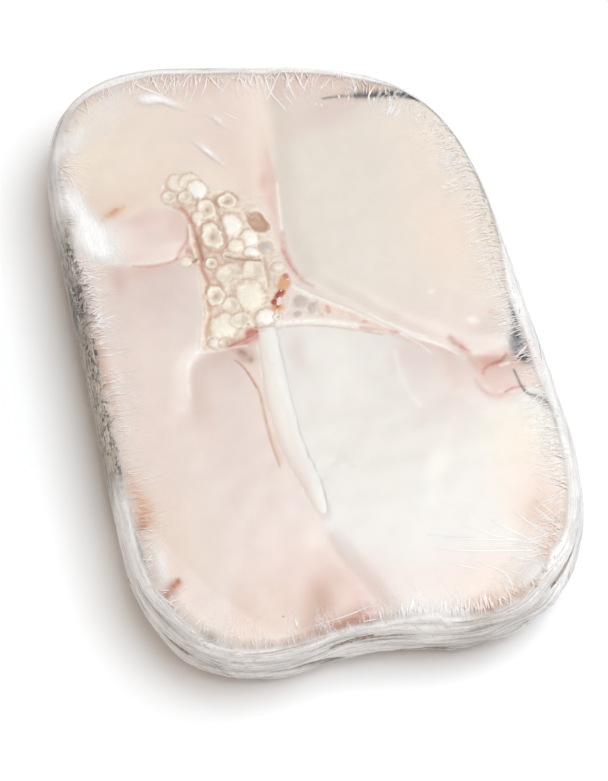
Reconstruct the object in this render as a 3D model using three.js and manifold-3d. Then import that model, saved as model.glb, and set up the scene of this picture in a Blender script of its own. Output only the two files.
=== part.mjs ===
// A frozen hake steak in clear wrap: one thick slice across the fish, lying on a cut face.
//
// Millimetres, +Z up. The steak rests on z = 0 with its long side along Y, the back of the fish at
// the far (+Y) end and the skin all round the side. The clear wrap clings to the flesh, so the two
// are one closed solid, with a pocket for each bone that shows in the cut face.

import * as THREE from "three";
import { mergeVertices } from "three/addons/utils/BufferGeometryUtils.js";
import Module from "manifold-3d";

const wasm = await Module();
wasm.setup();

// ---------------------------------------------------------------- driving dimensions

const THICKNESS = 22; // from cut face to cut face
const GAP = 0.35; // between a bone and its pocket
const BONE_LIFT = 0.5; // the bones' undersides stay this far above the table
const BONE_SINK = 0.8; // the bones' sawn ends lie this far below the upper face
const BONE_OUTLINE_STEPS = 56;
const CUTTER_REACH = 4; // a pocket's cutter runs this far past the slice

// The rim line of the upper face: a rounded quadrilateral, corner by corner, counter-clockwise
// from the far left. The setback is where a corner's round begins, and the fullness is how far its
// curve reaches into the corner: 0.55 is close to a circle's arc.
const RIM_CORNERS = [
  { at: [-43.4, 74.4], setback: 32, fullness: 0.69 },
  { at: [-46.7, -68], setback: 35, fullness: 0.7 },
  { at: [47.2, -85.4], setback: 56, fullness: 0.63 },
  { at: [42.5, 54.3], setback: 38, fullness: 0.81 },
];
const WAIST = { at: [-1.7, -69.5], depth: 9.8, reach: 24 }; // the near side draws in here
const OUTLINE_STEPS = 132;

// The side, from the rim round to the foot.
const SIDE = {
  bulge: { left: 3.3, near: 1.2, right: 3.6, far: 4.4 }, // how far it stands out of the rim line
  rimInset: 3, // where the upper face begins to turn down
  footInset: 4.6, // where the side meets the flat underside
  squareness: 2.6, // 2 is an ellipse, more is boxier
  rows: 13,
};

// Loose film: folds that run along the near side, pleats round the rim, and a gathered corner.
const FOLD = { depth: 0.65, pitch: 6.8, drift: 90 };
const PLEAT = { depth: 0.3, middle: THICKNESS - 1.6, reach: 2.4 };
const GATHER = { at: [38, -58], reach: 20, depth: 1, pleats: 11 };

// The upper face: a low crown with soft seams where the muscle blocks meet. The seams are those of
// the back, the left, the right, the belly and the lower left.
const FACE = { crown: 0.7, halfWidth: 48, halfLength: 72, rings: 8, insetRings: [3.6, 1.6] };
const SEAM_STEPS = 12;
const SEAMS = [
  { depth: 0.7, width: 3.2, through: [[5.5, 66], [3, 46], [0, 28], [1.3, 12.7]] },
  { depth: 0.6, width: 2.6, through: [[-42, 27], [-32, 24], [-22, 23]] },
  { depth: 0.6, width: 2.6, through: [[1.3, 12.7], [19, -5], [33, -14], [43, -16]] },
  { depth: 0.4, width: 3, through: [[-8, -48], [-3, -60], [2, -70]] },
  { depth: 0.4, width: 2.6, through: [[-20, 0], [-26, -3], [-28.5, -12]] },
];

// The vertebra: a spongy body that runs through the slice, with its cells cut open on top.
const VERTEBRA_OUTLINE = [
  [-20, 43.4], [-15.5, 42.8], [-12.2, 37.6], [-7.6, 36.2], [-3, 31], [-1.6, 26], [-1.9, 19.5],
  [-0.6, 13], [-3.2, 6], [-8.4, 2.4], [-19.5, -0.4], [-23.6, 1.2], [-21.6, 8], [-20, 14],
  [-19.8, 19.4], [-23, 22], [-20.2, 26], [-19.6, 30], [-21, 34.4], [-23.8, 37.6], [-23, 41],
];
const CELL = { buried: 4, sink: 0.2, rise: 0.55, crater: 0.6, sides: 10 };
const CELLS = [
  { at: [-19.4, 41.2], radii: [2.3, 1.9] },
  { at: [-16.7, 40.6], radii: [2, 2] },
  { at: [-15.4, 38.1], radii: [2.2, 2.3] },
  { at: [-21.8, 38], radii: [1.5, 1.5], open: true },
  { at: [-18.6, 37.2], radii: [1.6, 1.4], open: true },
  { at: [-14.6, 33], radii: [2.1, 2.4], open: true },
  { at: [-16.9, 31.4], radii: [1.4, 1.7] },
  { at: [-9.8, 34], radii: [2.2, 1.9], open: true },
  { at: [-10.4, 28], radii: [2.5, 2.9] },
  { at: [-7.3, 24], radii: [2.2, 2.1] },
  { at: [-10.5, 23], radii: [1.8, 1.6] },
  { at: [-7.5, 20.6], radii: [1.8, 1.2] },
  { at: [-14.9, 26.4], radii: [2.3, 3.3], open: true },
  { at: [-4.4, 27.6], radii: [1.7, 2.6], open: true },
  { at: [-4.2, 21], radii: [1.4, 1.5] },
  { at: [-16.5, 20.2], radii: [1.3, 1.3], open: true },
  { at: [-13.4, 16.6], radii: [3, 2.9], open: true },
  { at: [-8.2, 16], radii: [2.5, 3], open: true },
  { at: [-10.4, 10.4], radii: [3.3, 3.6] },
  { at: [-17.5, 12.4], radii: [2.1, 2.3], open: true },
  { at: [-14.7, 9.4], radii: [1.9, 2.1], open: true },
  { at: [-17.4, 5], radii: [3.5, 3] },
  { at: [-13.5, 5.6], radii: [2.2, 1.9], open: true },
  { at: [-8.2, 4.9], radii: [2.4, 2.1] },
];

// The wing bone leaves the vertebra to the right and thins out to a point.
const WING = {
  base: { upper: [-2, 12.6], lower: [-6.4, 2] },
  upperSag: [7.8, 4.5],
  lowerSag: [9.4, -0.8],
  tip: [22.3, -8],
  steps: 9, // along each side
};
const WING_CELLS = [
  { at: [-0.1, 6.8], radii: [1.7, 1.6], open: true },
  { at: [2.4, 4.8], radii: [1.1, 1.4], open: true },
  { at: [6, 3.2], radii: [1.5, 1.3], open: true },
];

// The long spine lies in the cut and is sliced lengthwise: half a rod, flat side up, that is
// widest part of the way along.
const SPINE = {
  path: [[-8.6, 2.6], [-9.6, -8], [-10, -18], [-9.6, -26], [-8, -34], [-6.6, -44], [-5, -54]],
  width: { start: 4.4, widest: 5.4, end: 2.2, widestAt: 0.35 },
  depth: { start: 3.6, end: 1 },
  sink: 0.5,
  stations: 16,
  sides: 8,
};

// ---------------------------------------------------------------- small tools

const vec = (pair) => new THREE.Vector2(pair[0], pair[1]);

// The closest distance from a place to a row of points joined by straight lines.
function distanceToPath(place, path) {
  let nearest = Infinity;
  const line = new THREE.Line3();
  const on = new THREE.Vector3();
  const here = new THREE.Vector3(place.x, place.y, 0);
  for (let i = 1; i < path.length; i++) {
    line.start.set(path[i - 1].x, path[i - 1].y, 0);
    line.end.set(path[i].x, path[i].y, 0);
    line.closestPointToPoint(here, true, on);
    nearest = Math.min(nearest, on.distanceTo(here));
  }
  return nearest;
}

const bell = (distance, reach) => Math.exp(-((distance / reach) ** 2));

// The outward normals of a counter-clockwise ring of points.
function ringNormals(ring) {
  const count = ring.length;
  return ring.map((_, i) => {
    const along = ring[(i + 1) % count].clone().sub(ring[(i + count - 1) % count]);
    return new THREE.Vector2(along.y, -along.x).normalize();
  });
}

// A counter-clockwise ring with every edge moved out by the same distance.
function grownRing(ring, distance) {
  const count = ring.length;
  const edgeNormal = (from, to) => {
    const along = to.clone().sub(from).normalize();
    return new THREE.Vector2(along.y, -along.x);
  };
  return ring.map((point, i) => {
    const before = edgeNormal(ring[(i + count - 1) % count], point);
    const after = edgeNormal(point, ring[(i + 1) % count]);
    const sharpness = Math.max(0.3, 1 + before.dot(after));
    return point.clone().addScaledVector(before.add(after), distance / sharpness);
  });
}

// A curve's points without the last, which repeats the first.
const asRing = (points) => points.slice(0, points.length - 1);

// A closed geometry as a solid that can be joined and cut.
function toSolid(geometry) {
  const flat = geometry.index ? geometry.toNonIndexed() : geometry;
  const bare = new THREE.BufferGeometry();
  bare.setAttribute("position", flat.getAttribute("position"));
  const merged = mergeVertices(bare, 1e-4);
  const corners = merged.index.array;
  const kept = [];
  for (let i = 0; i < corners.length; i += 3) {
    const [a, b, c] = [corners[i], corners[i + 1], corners[i + 2]];
    if (a !== b && b !== c && c !== a) kept.push(a, b, c);
  }
  return new wasm.Manifold(
    new wasm.Mesh({
      numProp: 3,
      vertProperties: merged.getAttribute("position").array,
      triVerts: new Uint32Array(kept),
    }),
  );
}

// A named mesh made from a solid.
function toMesh(name, solid, material) {
  const { numProp, numVert, vertProperties, triVerts } = solid.getMesh();
  const positions = new Float32Array(numVert * 3);
  for (let i = 0; i < numVert; i++) {
    positions.set(vertProperties.subarray(i * numProp, i * numProp + 3), i * 3);
  }
  const geometry = new THREE.BufferGeometry();
  geometry.setAttribute("position", new THREE.BufferAttribute(positions, 3));
  geometry.setIndex(new THREE.BufferAttribute(triVerts, 1));
  geometry.computeVertexNormals();
  const mesh = new THREE.Mesh(geometry, material);
  mesh.name = name;
  return mesh;
}

const joined = (solids) => solids.reduce((sum, solid) => sum.add(solid));

// A closed skin over a stack of rings that run counter-clockwise, first ring at the top. Each end
// is closed by a fan to its own middle point.
function loft(rings, topMiddle, bottomMiddle) {
  const count = rings[0].length;
  const positions = [topMiddle, ...rings.flat(), bottomMiddle].flatMap((p) => p.toArray());
  const last = rings.length * count + 1;
  const faces = [];
  const at = (ring, i) => 1 + ring * count + (i % count);
  for (let i = 0; i < count; i++) {
    faces.push(0, at(0, i), at(0, i + 1));
    for (let ring = 0; ring < rings.length - 1; ring++) {
      faces.push(at(ring, i), at(ring + 1, i), at(ring + 1, i + 1));
      faces.push(at(ring, i), at(ring + 1, i + 1), at(ring, i + 1));
    }
    faces.push(at(rings.length - 1, i + 1), at(rings.length - 1, i), last);
  }
  const geometry = new THREE.BufferGeometry();
  geometry.setAttribute("position", new THREE.Float32BufferAttribute(positions, 3));
  geometry.setIndex(faces);
  return geometry;
}

// An upright prism of a counter-clockwise outline, between two heights.
function prism(points, bottom, top) {
  const geometry = new THREE.ExtrudeGeometry(new THREE.Shape(points), {
    depth: top - bottom,
    bevelEnabled: false,
  });
  return geometry.translate(0, 0, bottom);
}

// ---------------------------------------------------------------- the wrapped steak

// The rim line as evenly spaced points.
function rimRing() {
  const shape = new THREE.Shape();
  const count = RIM_CORNERS.length;
  RIM_CORNERS.forEach(({ at, setback, fullness }, i) => {
    const corner = vec(at);
    const before = vec(RIM_CORNERS[(i + count - 1) % count].at).sub(corner).setLength(setback);
    const after = vec(RIM_CORNERS[(i + 1) % count].at).sub(corner).setLength(setback);
    const start = corner.clone().add(before);
    const end = corner.clone().add(after);
    const startHandle = start.clone().lerp(corner, fullness);
    const endHandle = end.clone().lerp(corner, fullness);
    if (i === 0) shape.moveTo(start.x, start.y);
    else shape.lineTo(start.x, start.y);
    shape.bezierCurveTo(startHandle.x, startHandle.y, endHandle.x, endHandle.y, end.x, end.y);
  });
  shape.closePath();
  const ring = asRing(shape.getSpacedPoints(OUTLINE_STEPS));
  const normals = ringNormals(ring);
  return ring.map((point, i) => {
    const draw = WAIST.depth * bell(point.distanceTo(vec(WAIST.at)), WAIST.reach);
    return point.clone().addScaledVector(normals[i], -draw);
  });
}

// How far the side bulges out of the rim line where it faces along a normal.
function bulgeTowards(normal) {
  const { left, near, right, far } = SIDE.bulge;
  const sideways = normal.x < 0 ? left : right;
  const lengthways = normal.y < 0 ? near : far;
  return sideways * normal.x ** 2 + lengthways * normal.y ** 2;
}

// The side at one row: how far it stands out of the rim line, and its height.
function sideRow(row, normal) {
  const angle = Math.PI * (0.5 - row / (SIDE.rows - 1));
  const half = THICKNESS / 2;
  const inset = angle > 0 ? SIDE.rimInset : SIDE.footInset;
  const power = 2 / SIDE.squareness;
  return {
    out: (inset + bulgeTowards(normal)) * Math.abs(Math.cos(angle)) ** power - inset,
    height: half * (1 + Math.sign(angle) * Math.abs(Math.sin(angle)) ** power),
  };
}

// How far the loose film stands off the side at one place.
function filmRelief(point, normal, index, height) {
  const nearSide = THREE.MathUtils.smoothstep(-normal.y, -0.2, 0.8);
  const middle = Math.sin((Math.PI * height) / THICKNESS);
  const fold = Math.sin(2 * Math.PI * (height / FOLD.pitch + point.x / FOLD.drift));
  const pleat = (index % 2 ? 1 : -1) * bell(height - PLEAT.middle, PLEAT.reach);
  const corner = bell(point.distanceTo(vec(GATHER.at)), GATHER.reach);
  const crimp = 0.3 + 0.7 * Math.cos((GATHER.pleats * (point.x - point.y / 2 + height)) / GATHER.reach);
  return (
    FOLD.depth * nearSide * middle * fold +
    PLEAT.depth * pleat +
    GATHER.depth * corner * crimp * middle
  );
}

// The height of the upper face at a place.
function faceHeight(point, seams) {
  const edge = Math.min(1, Math.hypot(point.x / FACE.halfWidth, point.y / FACE.halfLength));
  const sunk = seams.map(({ depth, width, path }) => depth * bell(distanceToPath(point, path), width));
  return THICKNESS - FACE.crown * edge ** 4 - Math.max(...sunk);
}

function wrappedSteak() {
  const rim = rimRing();
  const normals = ringNormals(rim);
  const seams = SEAMS.map((seam) => ({
    ...seam,
    path: new THREE.SplineCurve(seam.through.map(vec)).getPoints(SEAM_STEPS),
  }));
  const onFace = (point) => new THREE.Vector3(point.x, point.y, faceHeight(point, seams));

  const insets = FACE.insetRings.map((inset) =>
    rim.map((point, i) => point.clone().addScaledVector(normals[i], -SIDE.rimInset - inset)),
  );
  const shrunk = Array.from({ length: FACE.rings - 1 }, (_, ring) =>
    insets[0].map((point) => point.clone().multiplyScalar((ring + 1) / FACE.rings)),
  );
  const faceRings = [...shrunk, ...insets].map((ring) => ring.map(onFace));

  const sideRings = Array.from({ length: SIDE.rows }, (_, row) => {
    return rim.map((point, i) => {
      const { out, height } = sideRow(row, normals[i]);
      const place = point.clone().addScaledVector(normals[i], out);
      const onFoot = row === SIDE.rows - 1;
      const relief = onFoot ? 0 : filmRelief(point, normals[i], i, height);
      place.addScaledVector(normals[i], relief);
      const drop = row === 0 ? faceHeight(place, seams) - THICKNESS : 0;
      return new THREE.Vector3(place.x, place.y, height + drop);
    });
  });

  return toSolid(
    loft([...faceRings, ...sideRings], onFace(new THREE.Vector2()), new THREE.Vector3()),
  );
}

// ---------------------------------------------------------------- the bones

// One cell of the spongy bone: a low dome, or a ring round a small crater. Grown, it is a plain
// plug that makes the cell's pocket.
function cell({ at, radii, open }, grow) {
  const top = THICKNESS - CELL.sink;
  const floor = THICKNESS - CELL.buried - grow;
  const shoulder = top - CELL.rise;
  const dome = open
    ? [[0, top - CELL.crater], [0.35, top - CELL.crater], [0.68, top], [1, shoulder]]
    : [[0, top], [0.55, top - 0.15], [1, shoulder]];
  const plug = [[0, THICKNESS + CUTTER_REACH], [1, THICKNESS + CUTTER_REACH]];
  const profile = [...(grow ? plug : dome), [1, floor], [0, floor]].reverse();
  const geometry = new THREE.LatheGeometry(profile.map(vec), CELL.sides);
  geometry.rotateX(Math.PI / 2);
  geometry.scale(radii[0] + grow, radii[1] + grow, 1);
  return toSolid(geometry.translate(at[0], at[1], 0));
}

// A prism through the slice; grown, it runs past both faces as the pocket's cutter.
function throughSlice(outline, grow) {
  return grow
    ? toSolid(prism(grownRing(outline, grow), -CUTTER_REACH, THICKNESS + CUTTER_REACH))
    : toSolid(prism(outline, BONE_LIFT, THICKNESS - BONE_SINK));
}

function vertebra(grow) {
  const corners = VERTEBRA_OUTLINE.map(([x, y]) => new THREE.Vector3(x, y, 0)).reverse();
  const curve = new THREE.CatmullRomCurve3(corners, true, "centripetal");
  const points = asRing(curve.getSpacedPoints(BONE_OUTLINE_STEPS));
  const outline = points.map((p) => new THREE.Vector2(p.x, p.y));
  return joined([throughSlice(outline, grow), ...CELLS.map((each) => cell(each, grow))]);
}

function wing(grow) {
  const shape = new THREE.Shape();
  const [lower, upper] = [WING.base.lower, WING.base.upper];
  shape.moveTo(...lower);
  shape.quadraticCurveTo(...WING.lowerSag, ...WING.tip);
  shape.quadraticCurveTo(...WING.upperSag, ...upper);
  shape.closePath();
  const outline = asRing(shape.getPoints(WING.steps));
  return joined([throughSlice(outline, grow), ...WING_CELLS.map((each) => cell(each, grow))]);
}

// How wide the spine is that far along it.
function spineWidth(along) {
  const { start, widest, end, widestAt } = SPINE.width;
  return along < widestAt
    ? THREE.MathUtils.lerp(start, widest, along / widestAt)
    : THREE.MathUtils.lerp(widest, end, (along - widestAt) / (1 - widestAt));
}

function spine(grow) {
  const curve = new THREE.SplineCurve(SPINE.path.map(vec));
  const cutFace = THICKNESS - SPINE.sink;
  const rings = [];
  for (let station = 0; station <= SPINE.stations; station++) {
    const along = station / SPINE.stations;
    const middle = curve.getPointAt(along);
    const heading = curve.getTangentAt(along);
    const across = new THREE.Vector2(heading.y, -heading.x);
    const half = spineWidth(along) / 2 + grow;
    const depth = THREE.MathUtils.lerp(SPINE.depth.start, SPINE.depth.end, along) + grow;
    const top = grow ? THICKNESS + CUTTER_REACH : cutFace;
    const ends = station === 0 ? -grow : station === SPINE.stations ? grow : 0;
    const ring = [];
    for (let side = 0; side <= SPINE.sides; side++) {
      const angle = (Math.PI * side) / SPINE.sides;
      const place = middle
        .clone()
        .addScaledVector(heading, ends)
        .addScaledVector(across, half * Math.cos(angle));
      const isEdge = side === 0 || side === SPINE.sides;
      const height = isEdge ? top : cutFace - depth * Math.sin(angle) ** 0.8;
      ring.push(new THREE.Vector3(place.x, place.y, height));
    }
    rings.push(ring.reverse());
  }
  const middleOf = (ring) => ring[0].clone().lerp(ring[ring.length - 1], 0.5);
  return toSolid(loft(rings, middleOf(rings[0]), middleOf(rings[rings.length - 1])));
}

// ---------------------------------------------------------------- materials and assembly

const finish = (color, roughness) =>
  new THREE.MeshStandardMaterial({ color, roughness, metalness: 0 });
const WRAPPED_FLESH = finish(0xecdfd8, 0.35);
const CREAM_BONE = finish(0xf2e6d8, 0.55);
const GREY_BONE = finish(0xe3d6ce, 0.55);
const WHITE_BONE = finish(0xf3ece6, 0.5);

const vertebraPocket = vertebra(GAP);
const spinePocket = spine(GAP);
const wingPocket = wing(GAP);

const hakeSteak = new THREE.Group();
hakeSteak.name = "hake_steak";
hakeSteak.add(
  toMesh(
    "wrapped_steak",
    wrappedSteak().subtract(joined([vertebraPocket, wingPocket, spinePocket])),
    WRAPPED_FLESH,
  ),
  toMesh("vertebra", vertebra(0), CREAM_BONE),
  toMesh("wing_bone", wing(0).subtract(vertebraPocket).subtract(spinePocket), GREY_BONE),
  toMesh("spine_bone", spine(0).subtract(vertebraPocket), WHITE_BONE),
);

export default hakeSteak;
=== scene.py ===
"""A frozen hake steak in clear shrink film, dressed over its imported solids.

Sizes are in millimetres while a piece is made and in metres once it is finished. The steak lies on
z = 0 with its long side along Y, and +Z is up.
"""

import logging
import math
import random
from collections.abc import Callable, Sequence
from dataclasses import dataclass
from enum import Enum

import bmesh
import bpy
from mathutils import Matrix, Vector, kdtree, noise


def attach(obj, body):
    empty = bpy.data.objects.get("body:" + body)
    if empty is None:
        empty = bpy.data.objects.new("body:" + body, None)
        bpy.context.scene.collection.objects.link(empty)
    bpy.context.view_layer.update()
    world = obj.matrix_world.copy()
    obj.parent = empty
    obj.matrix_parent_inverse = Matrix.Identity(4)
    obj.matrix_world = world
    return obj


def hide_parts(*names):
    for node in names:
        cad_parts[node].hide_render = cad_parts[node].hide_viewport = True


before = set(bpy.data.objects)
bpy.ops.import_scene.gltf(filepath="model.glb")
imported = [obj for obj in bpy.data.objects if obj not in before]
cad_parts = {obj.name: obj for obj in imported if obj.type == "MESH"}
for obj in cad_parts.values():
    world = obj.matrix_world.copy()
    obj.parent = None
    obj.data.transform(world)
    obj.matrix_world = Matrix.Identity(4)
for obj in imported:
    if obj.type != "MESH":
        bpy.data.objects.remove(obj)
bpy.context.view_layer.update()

LOG = logging.getLogger("hake_steak")
METRES = 0.001
THICKNESS = 22.0
HALF = THICKNESS / 2
SEED = 7

Place = tuple[float, float]
Colour = tuple[float, float, float]
Mesh = bmesh.types.BMesh
Piece = bpy.types.Object
Material = bpy.types.Material
Socket = bpy.types.NodeSocket


# ---- small sums


def bell(distance: float, reach: float) -> float:
    """A smooth hump: 1 at no distance, fading past the reach."""
    return math.exp(-((distance / reach) ** 2))


def ramp(value: float, low: float, high: float) -> float:
    """A smooth step from 0 at low to 1 at high."""
    share = min(1.0, max(0.0, (value - low) / (high - low)))
    return share * share * (3 - 2 * share)


def between(start: float, end: float, share: float) -> float:
    """The number that far from start to end."""
    return start + (end - start) * share


def mixed(first: Colour, second: Colour, share: float) -> Colour:
    """One colour blended towards another."""
    return tuple(between(a, b, share) for a, b in zip(first, second))


def linear(level: int) -> float:
    """An eight-bit display level as linear light."""
    value = level / 255
    return value / 12.92 if value <= 0.04045 else ((value + 0.055) / 1.055) ** 2.4


def wander(x: float, y: float, z: float, pitch: float, seed: float = 0.0) -> float:
    """Smooth noise from about -1 to 1 that changes over a pitch in millimetres."""
    return noise.noise(Vector((x / pitch + seed, y / pitch - seed, z / pitch + 2 * seed)))


class Tone(Enum):
    """The steak's colours, as display levels under the studio light; the glint tone is a painted highlight
    and the crease tone a painted shade.
    """

    CREAM = (235, 225, 214)
    GREENISH = (233, 226, 215)
    BEIGE = (243, 230, 216)
    YELLOW = (243, 230, 213)
    PEACH = (240, 219, 204)
    ORANGE = (222, 168, 128)
    RUST = (190, 112, 70)
    ROSE = (238, 219, 211)
    PINK = (230, 200, 189)
    RED = (204, 134, 118)
    DEEP_RED = (174, 78, 62)
    MAUVE = (226, 207, 201)
    PALE = (236, 222, 214)
    MILK = (237, 232, 226)
    WHITE = (253, 249, 241)
    BROWN = (201, 164, 140)
    UMBER = (164, 122, 98)
    GAP = (222, 193, 168)
    JELLY = (234, 222, 205)
    BONE = (247, 240, 223)
    GREY = (206, 193, 184)
    SLATE = (84, 82, 84)
    SILVER = (198, 191, 177)
    HAZE = (232, 228, 226)
    # Painted highlight: the white that the film's folds show where they catch the light.
    GLINT = (255, 255, 255)
    # Painted shade: the dark of the film's folds where shade falls in them.
    CREASE = (150, 134, 124)
    INK = (48, 44, 46)

    @property
    def paint(self) -> Colour:
        """The tone as a linear surface colour."""
        return tuple((linear(level) - SHEEN) / LIGHT_LEVEL for level in self.value)


LIGHT_LEVEL = 1.1
SHEEN = 0.03


# ---- lines on the cut face


def pairs(numbers: Sequence[float]) -> tuple[Place, ...]:
    """Places from numbers that give x and y in turn."""
    return tuple(zip(numbers[::2], numbers[1::2]))


def smooth_line(through: Sequence[Place], closed: bool = False, step: float = 0.3) -> list[Vector]:
    """Points a step apart along a smooth line.

    Args:
        through: the places that the line passes.
        closed: whether it runs back to its start.
        step: the distance between points.

    Returns:
        The points, without a repeated last one where the line is closed.
    """
    places = [Vector(place) for place in through]
    count = len(places)
    found = []
    for i in range(count if closed else count - 1):
        if closed:
            a, b, c, d = (places[(i + k - 1) % count] for k in range(4))
        else:
            a, b, c, d = (places[min(count - 1, max(0, i + k - 1))] for k in range(4))
        pieces = max(2, math.ceil((c - b).length / step))
        for piece in range(pieces):
            t = piece / pieces
            found.append(
                0.5
                * (
                    2 * b
                    + (c - a) * t
                    + (2 * a - 5 * b + 4 * c - d) * t * t
                    + (3 * b - a - 3 * c + d) * t**3
                )
            )
    if not closed:
        found.append(places[-1].copy())
    return found


def ring_normals(ring: Sequence[Vector]) -> list[Vector]:
    """The outward normals of a counter-clockwise ring."""
    found = []
    for i in range(len(ring)):
        along = ring[(i + 1) % len(ring)] - ring[i - 1]
        found.append(Vector((along.y, -along.x)).normalized())
    return found


def grown(ring: Sequence[Vector], distance: float) -> list[Vector]:
    """A ring moved outwards, whichever way round it runs."""
    area = sum(ring[i - 1].x * ring[i].y - ring[i].x * ring[i - 1].y for i in range(len(ring)))
    out = math.copysign(distance, area)
    return [point + normal * out for point, normal in zip(ring, ring_normals(ring))]


class Trace:
    """A smooth line that other places are measured from."""

    def __init__(self, points: Sequence[Vector]) -> None:
        """Args: points: the line's points, close together."""
        self.points = list(points)
        self.tree = kdtree.KDTree(len(self.points))
        for i, point in enumerate(self.points):
            self.tree.insert((point.x, point.y, 0.0), i)
        self.tree.balance()

    def nearest(self, x: float, y: float) -> tuple[int, float]:
        """The index of the closest point, and how far off it is."""
        _, index, distance = self.tree.find((x, y, 0.0))
        return index, distance

    def distance(self, x: float, y: float) -> float:
        """How far a place is from the line."""
        return self.nearest(x, y)[1]


class Loop(Trace):
    """A closed line round an area."""

    def __init__(self, points: Sequence[Vector]) -> None:
        """Args: points: the ring, close together and without a repeated last point."""
        super().__init__(points)
        self.low = Vector((min(p.x for p in points), min(p.y for p in points)))
        self.high = Vector((max(p.x for p in points), max(p.y for p in points)))

    def holds(self, x: float, y: float) -> bool:
        """Whether a place is inside the ring."""
        if not (self.low.x <= x <= self.high.x and self.low.y <= y <= self.high.y):
            return False
        inside = False
        last = self.points[-1]
        for point in self.points:
            if (point.y > y) != (last.y > y):
                if x < (last.x - point.x) * (y - point.y) / (last.y - point.y) + point.x:
                    inside = not inside
            last = point
        return inside

    def depth(self, x: float, y: float) -> float:
        """How far inside the ring a place is; outside, it is negative."""
        distance = self.distance(x, y)
        return distance if self.holds(x, y) else -distance


# ---- the steak's form


@dataclass(frozen=True)
class Corner:
    """One rounded corner of the steak's rim line."""

    name: str
    at: Place
    setback: float
    fullness: float


@dataclass(frozen=True)
class Seam:
    """A shallow dip in the face where two muscle blocks meet."""

    depth: float
    width: float
    through: tuple[Place, ...]


@dataclass(frozen=True)
class SteakForm:
    """The slice's outline, side and face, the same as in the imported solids."""

    corners: tuple[Corner, ...] = (
        Corner("far left", (-43.4, 74.4), 32, 0.69),
        Corner("near left", (-46.7, -68), 35, 0.7),
        Corner("near right", (47.2, -85.4), 56, 0.63),
        Corner("far right", (42.5, 54.3), 38, 0.81),
    )
    waist_at: Place = (-1.7, -69.5)
    waist_depth: float = 9.8
    waist_reach: float = 24
    bulge_left: float = 3.3
    bulge_near: float = 1.2
    bulge_right: float = 3.6
    bulge_far: float = 4.4
    rim_inset: float = 3
    foot_inset: float = 4.6
    squareness: float = 2.6
    crown: float = 0.7
    seams: tuple[Seam, ...] = (
        Seam(0.7, 3.2, ((5.5, 66), (3, 46), (0, 28), (1.3, 12.7))),
        Seam(0.6, 2.6, ((-42, 27), (-32, 24), (-22, 23))),
        Seam(0.6, 2.6, ((1.3, 12.7), (19, -5), (33, -14), (43, -16))),
        Seam(0.4, 3, ((-8, -48), (-3, -60), (2, -70))),
        Seam(0.4, 2.6, ((-20, 0), (-26, -3), (-28.5, -12))),
    )


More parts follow.
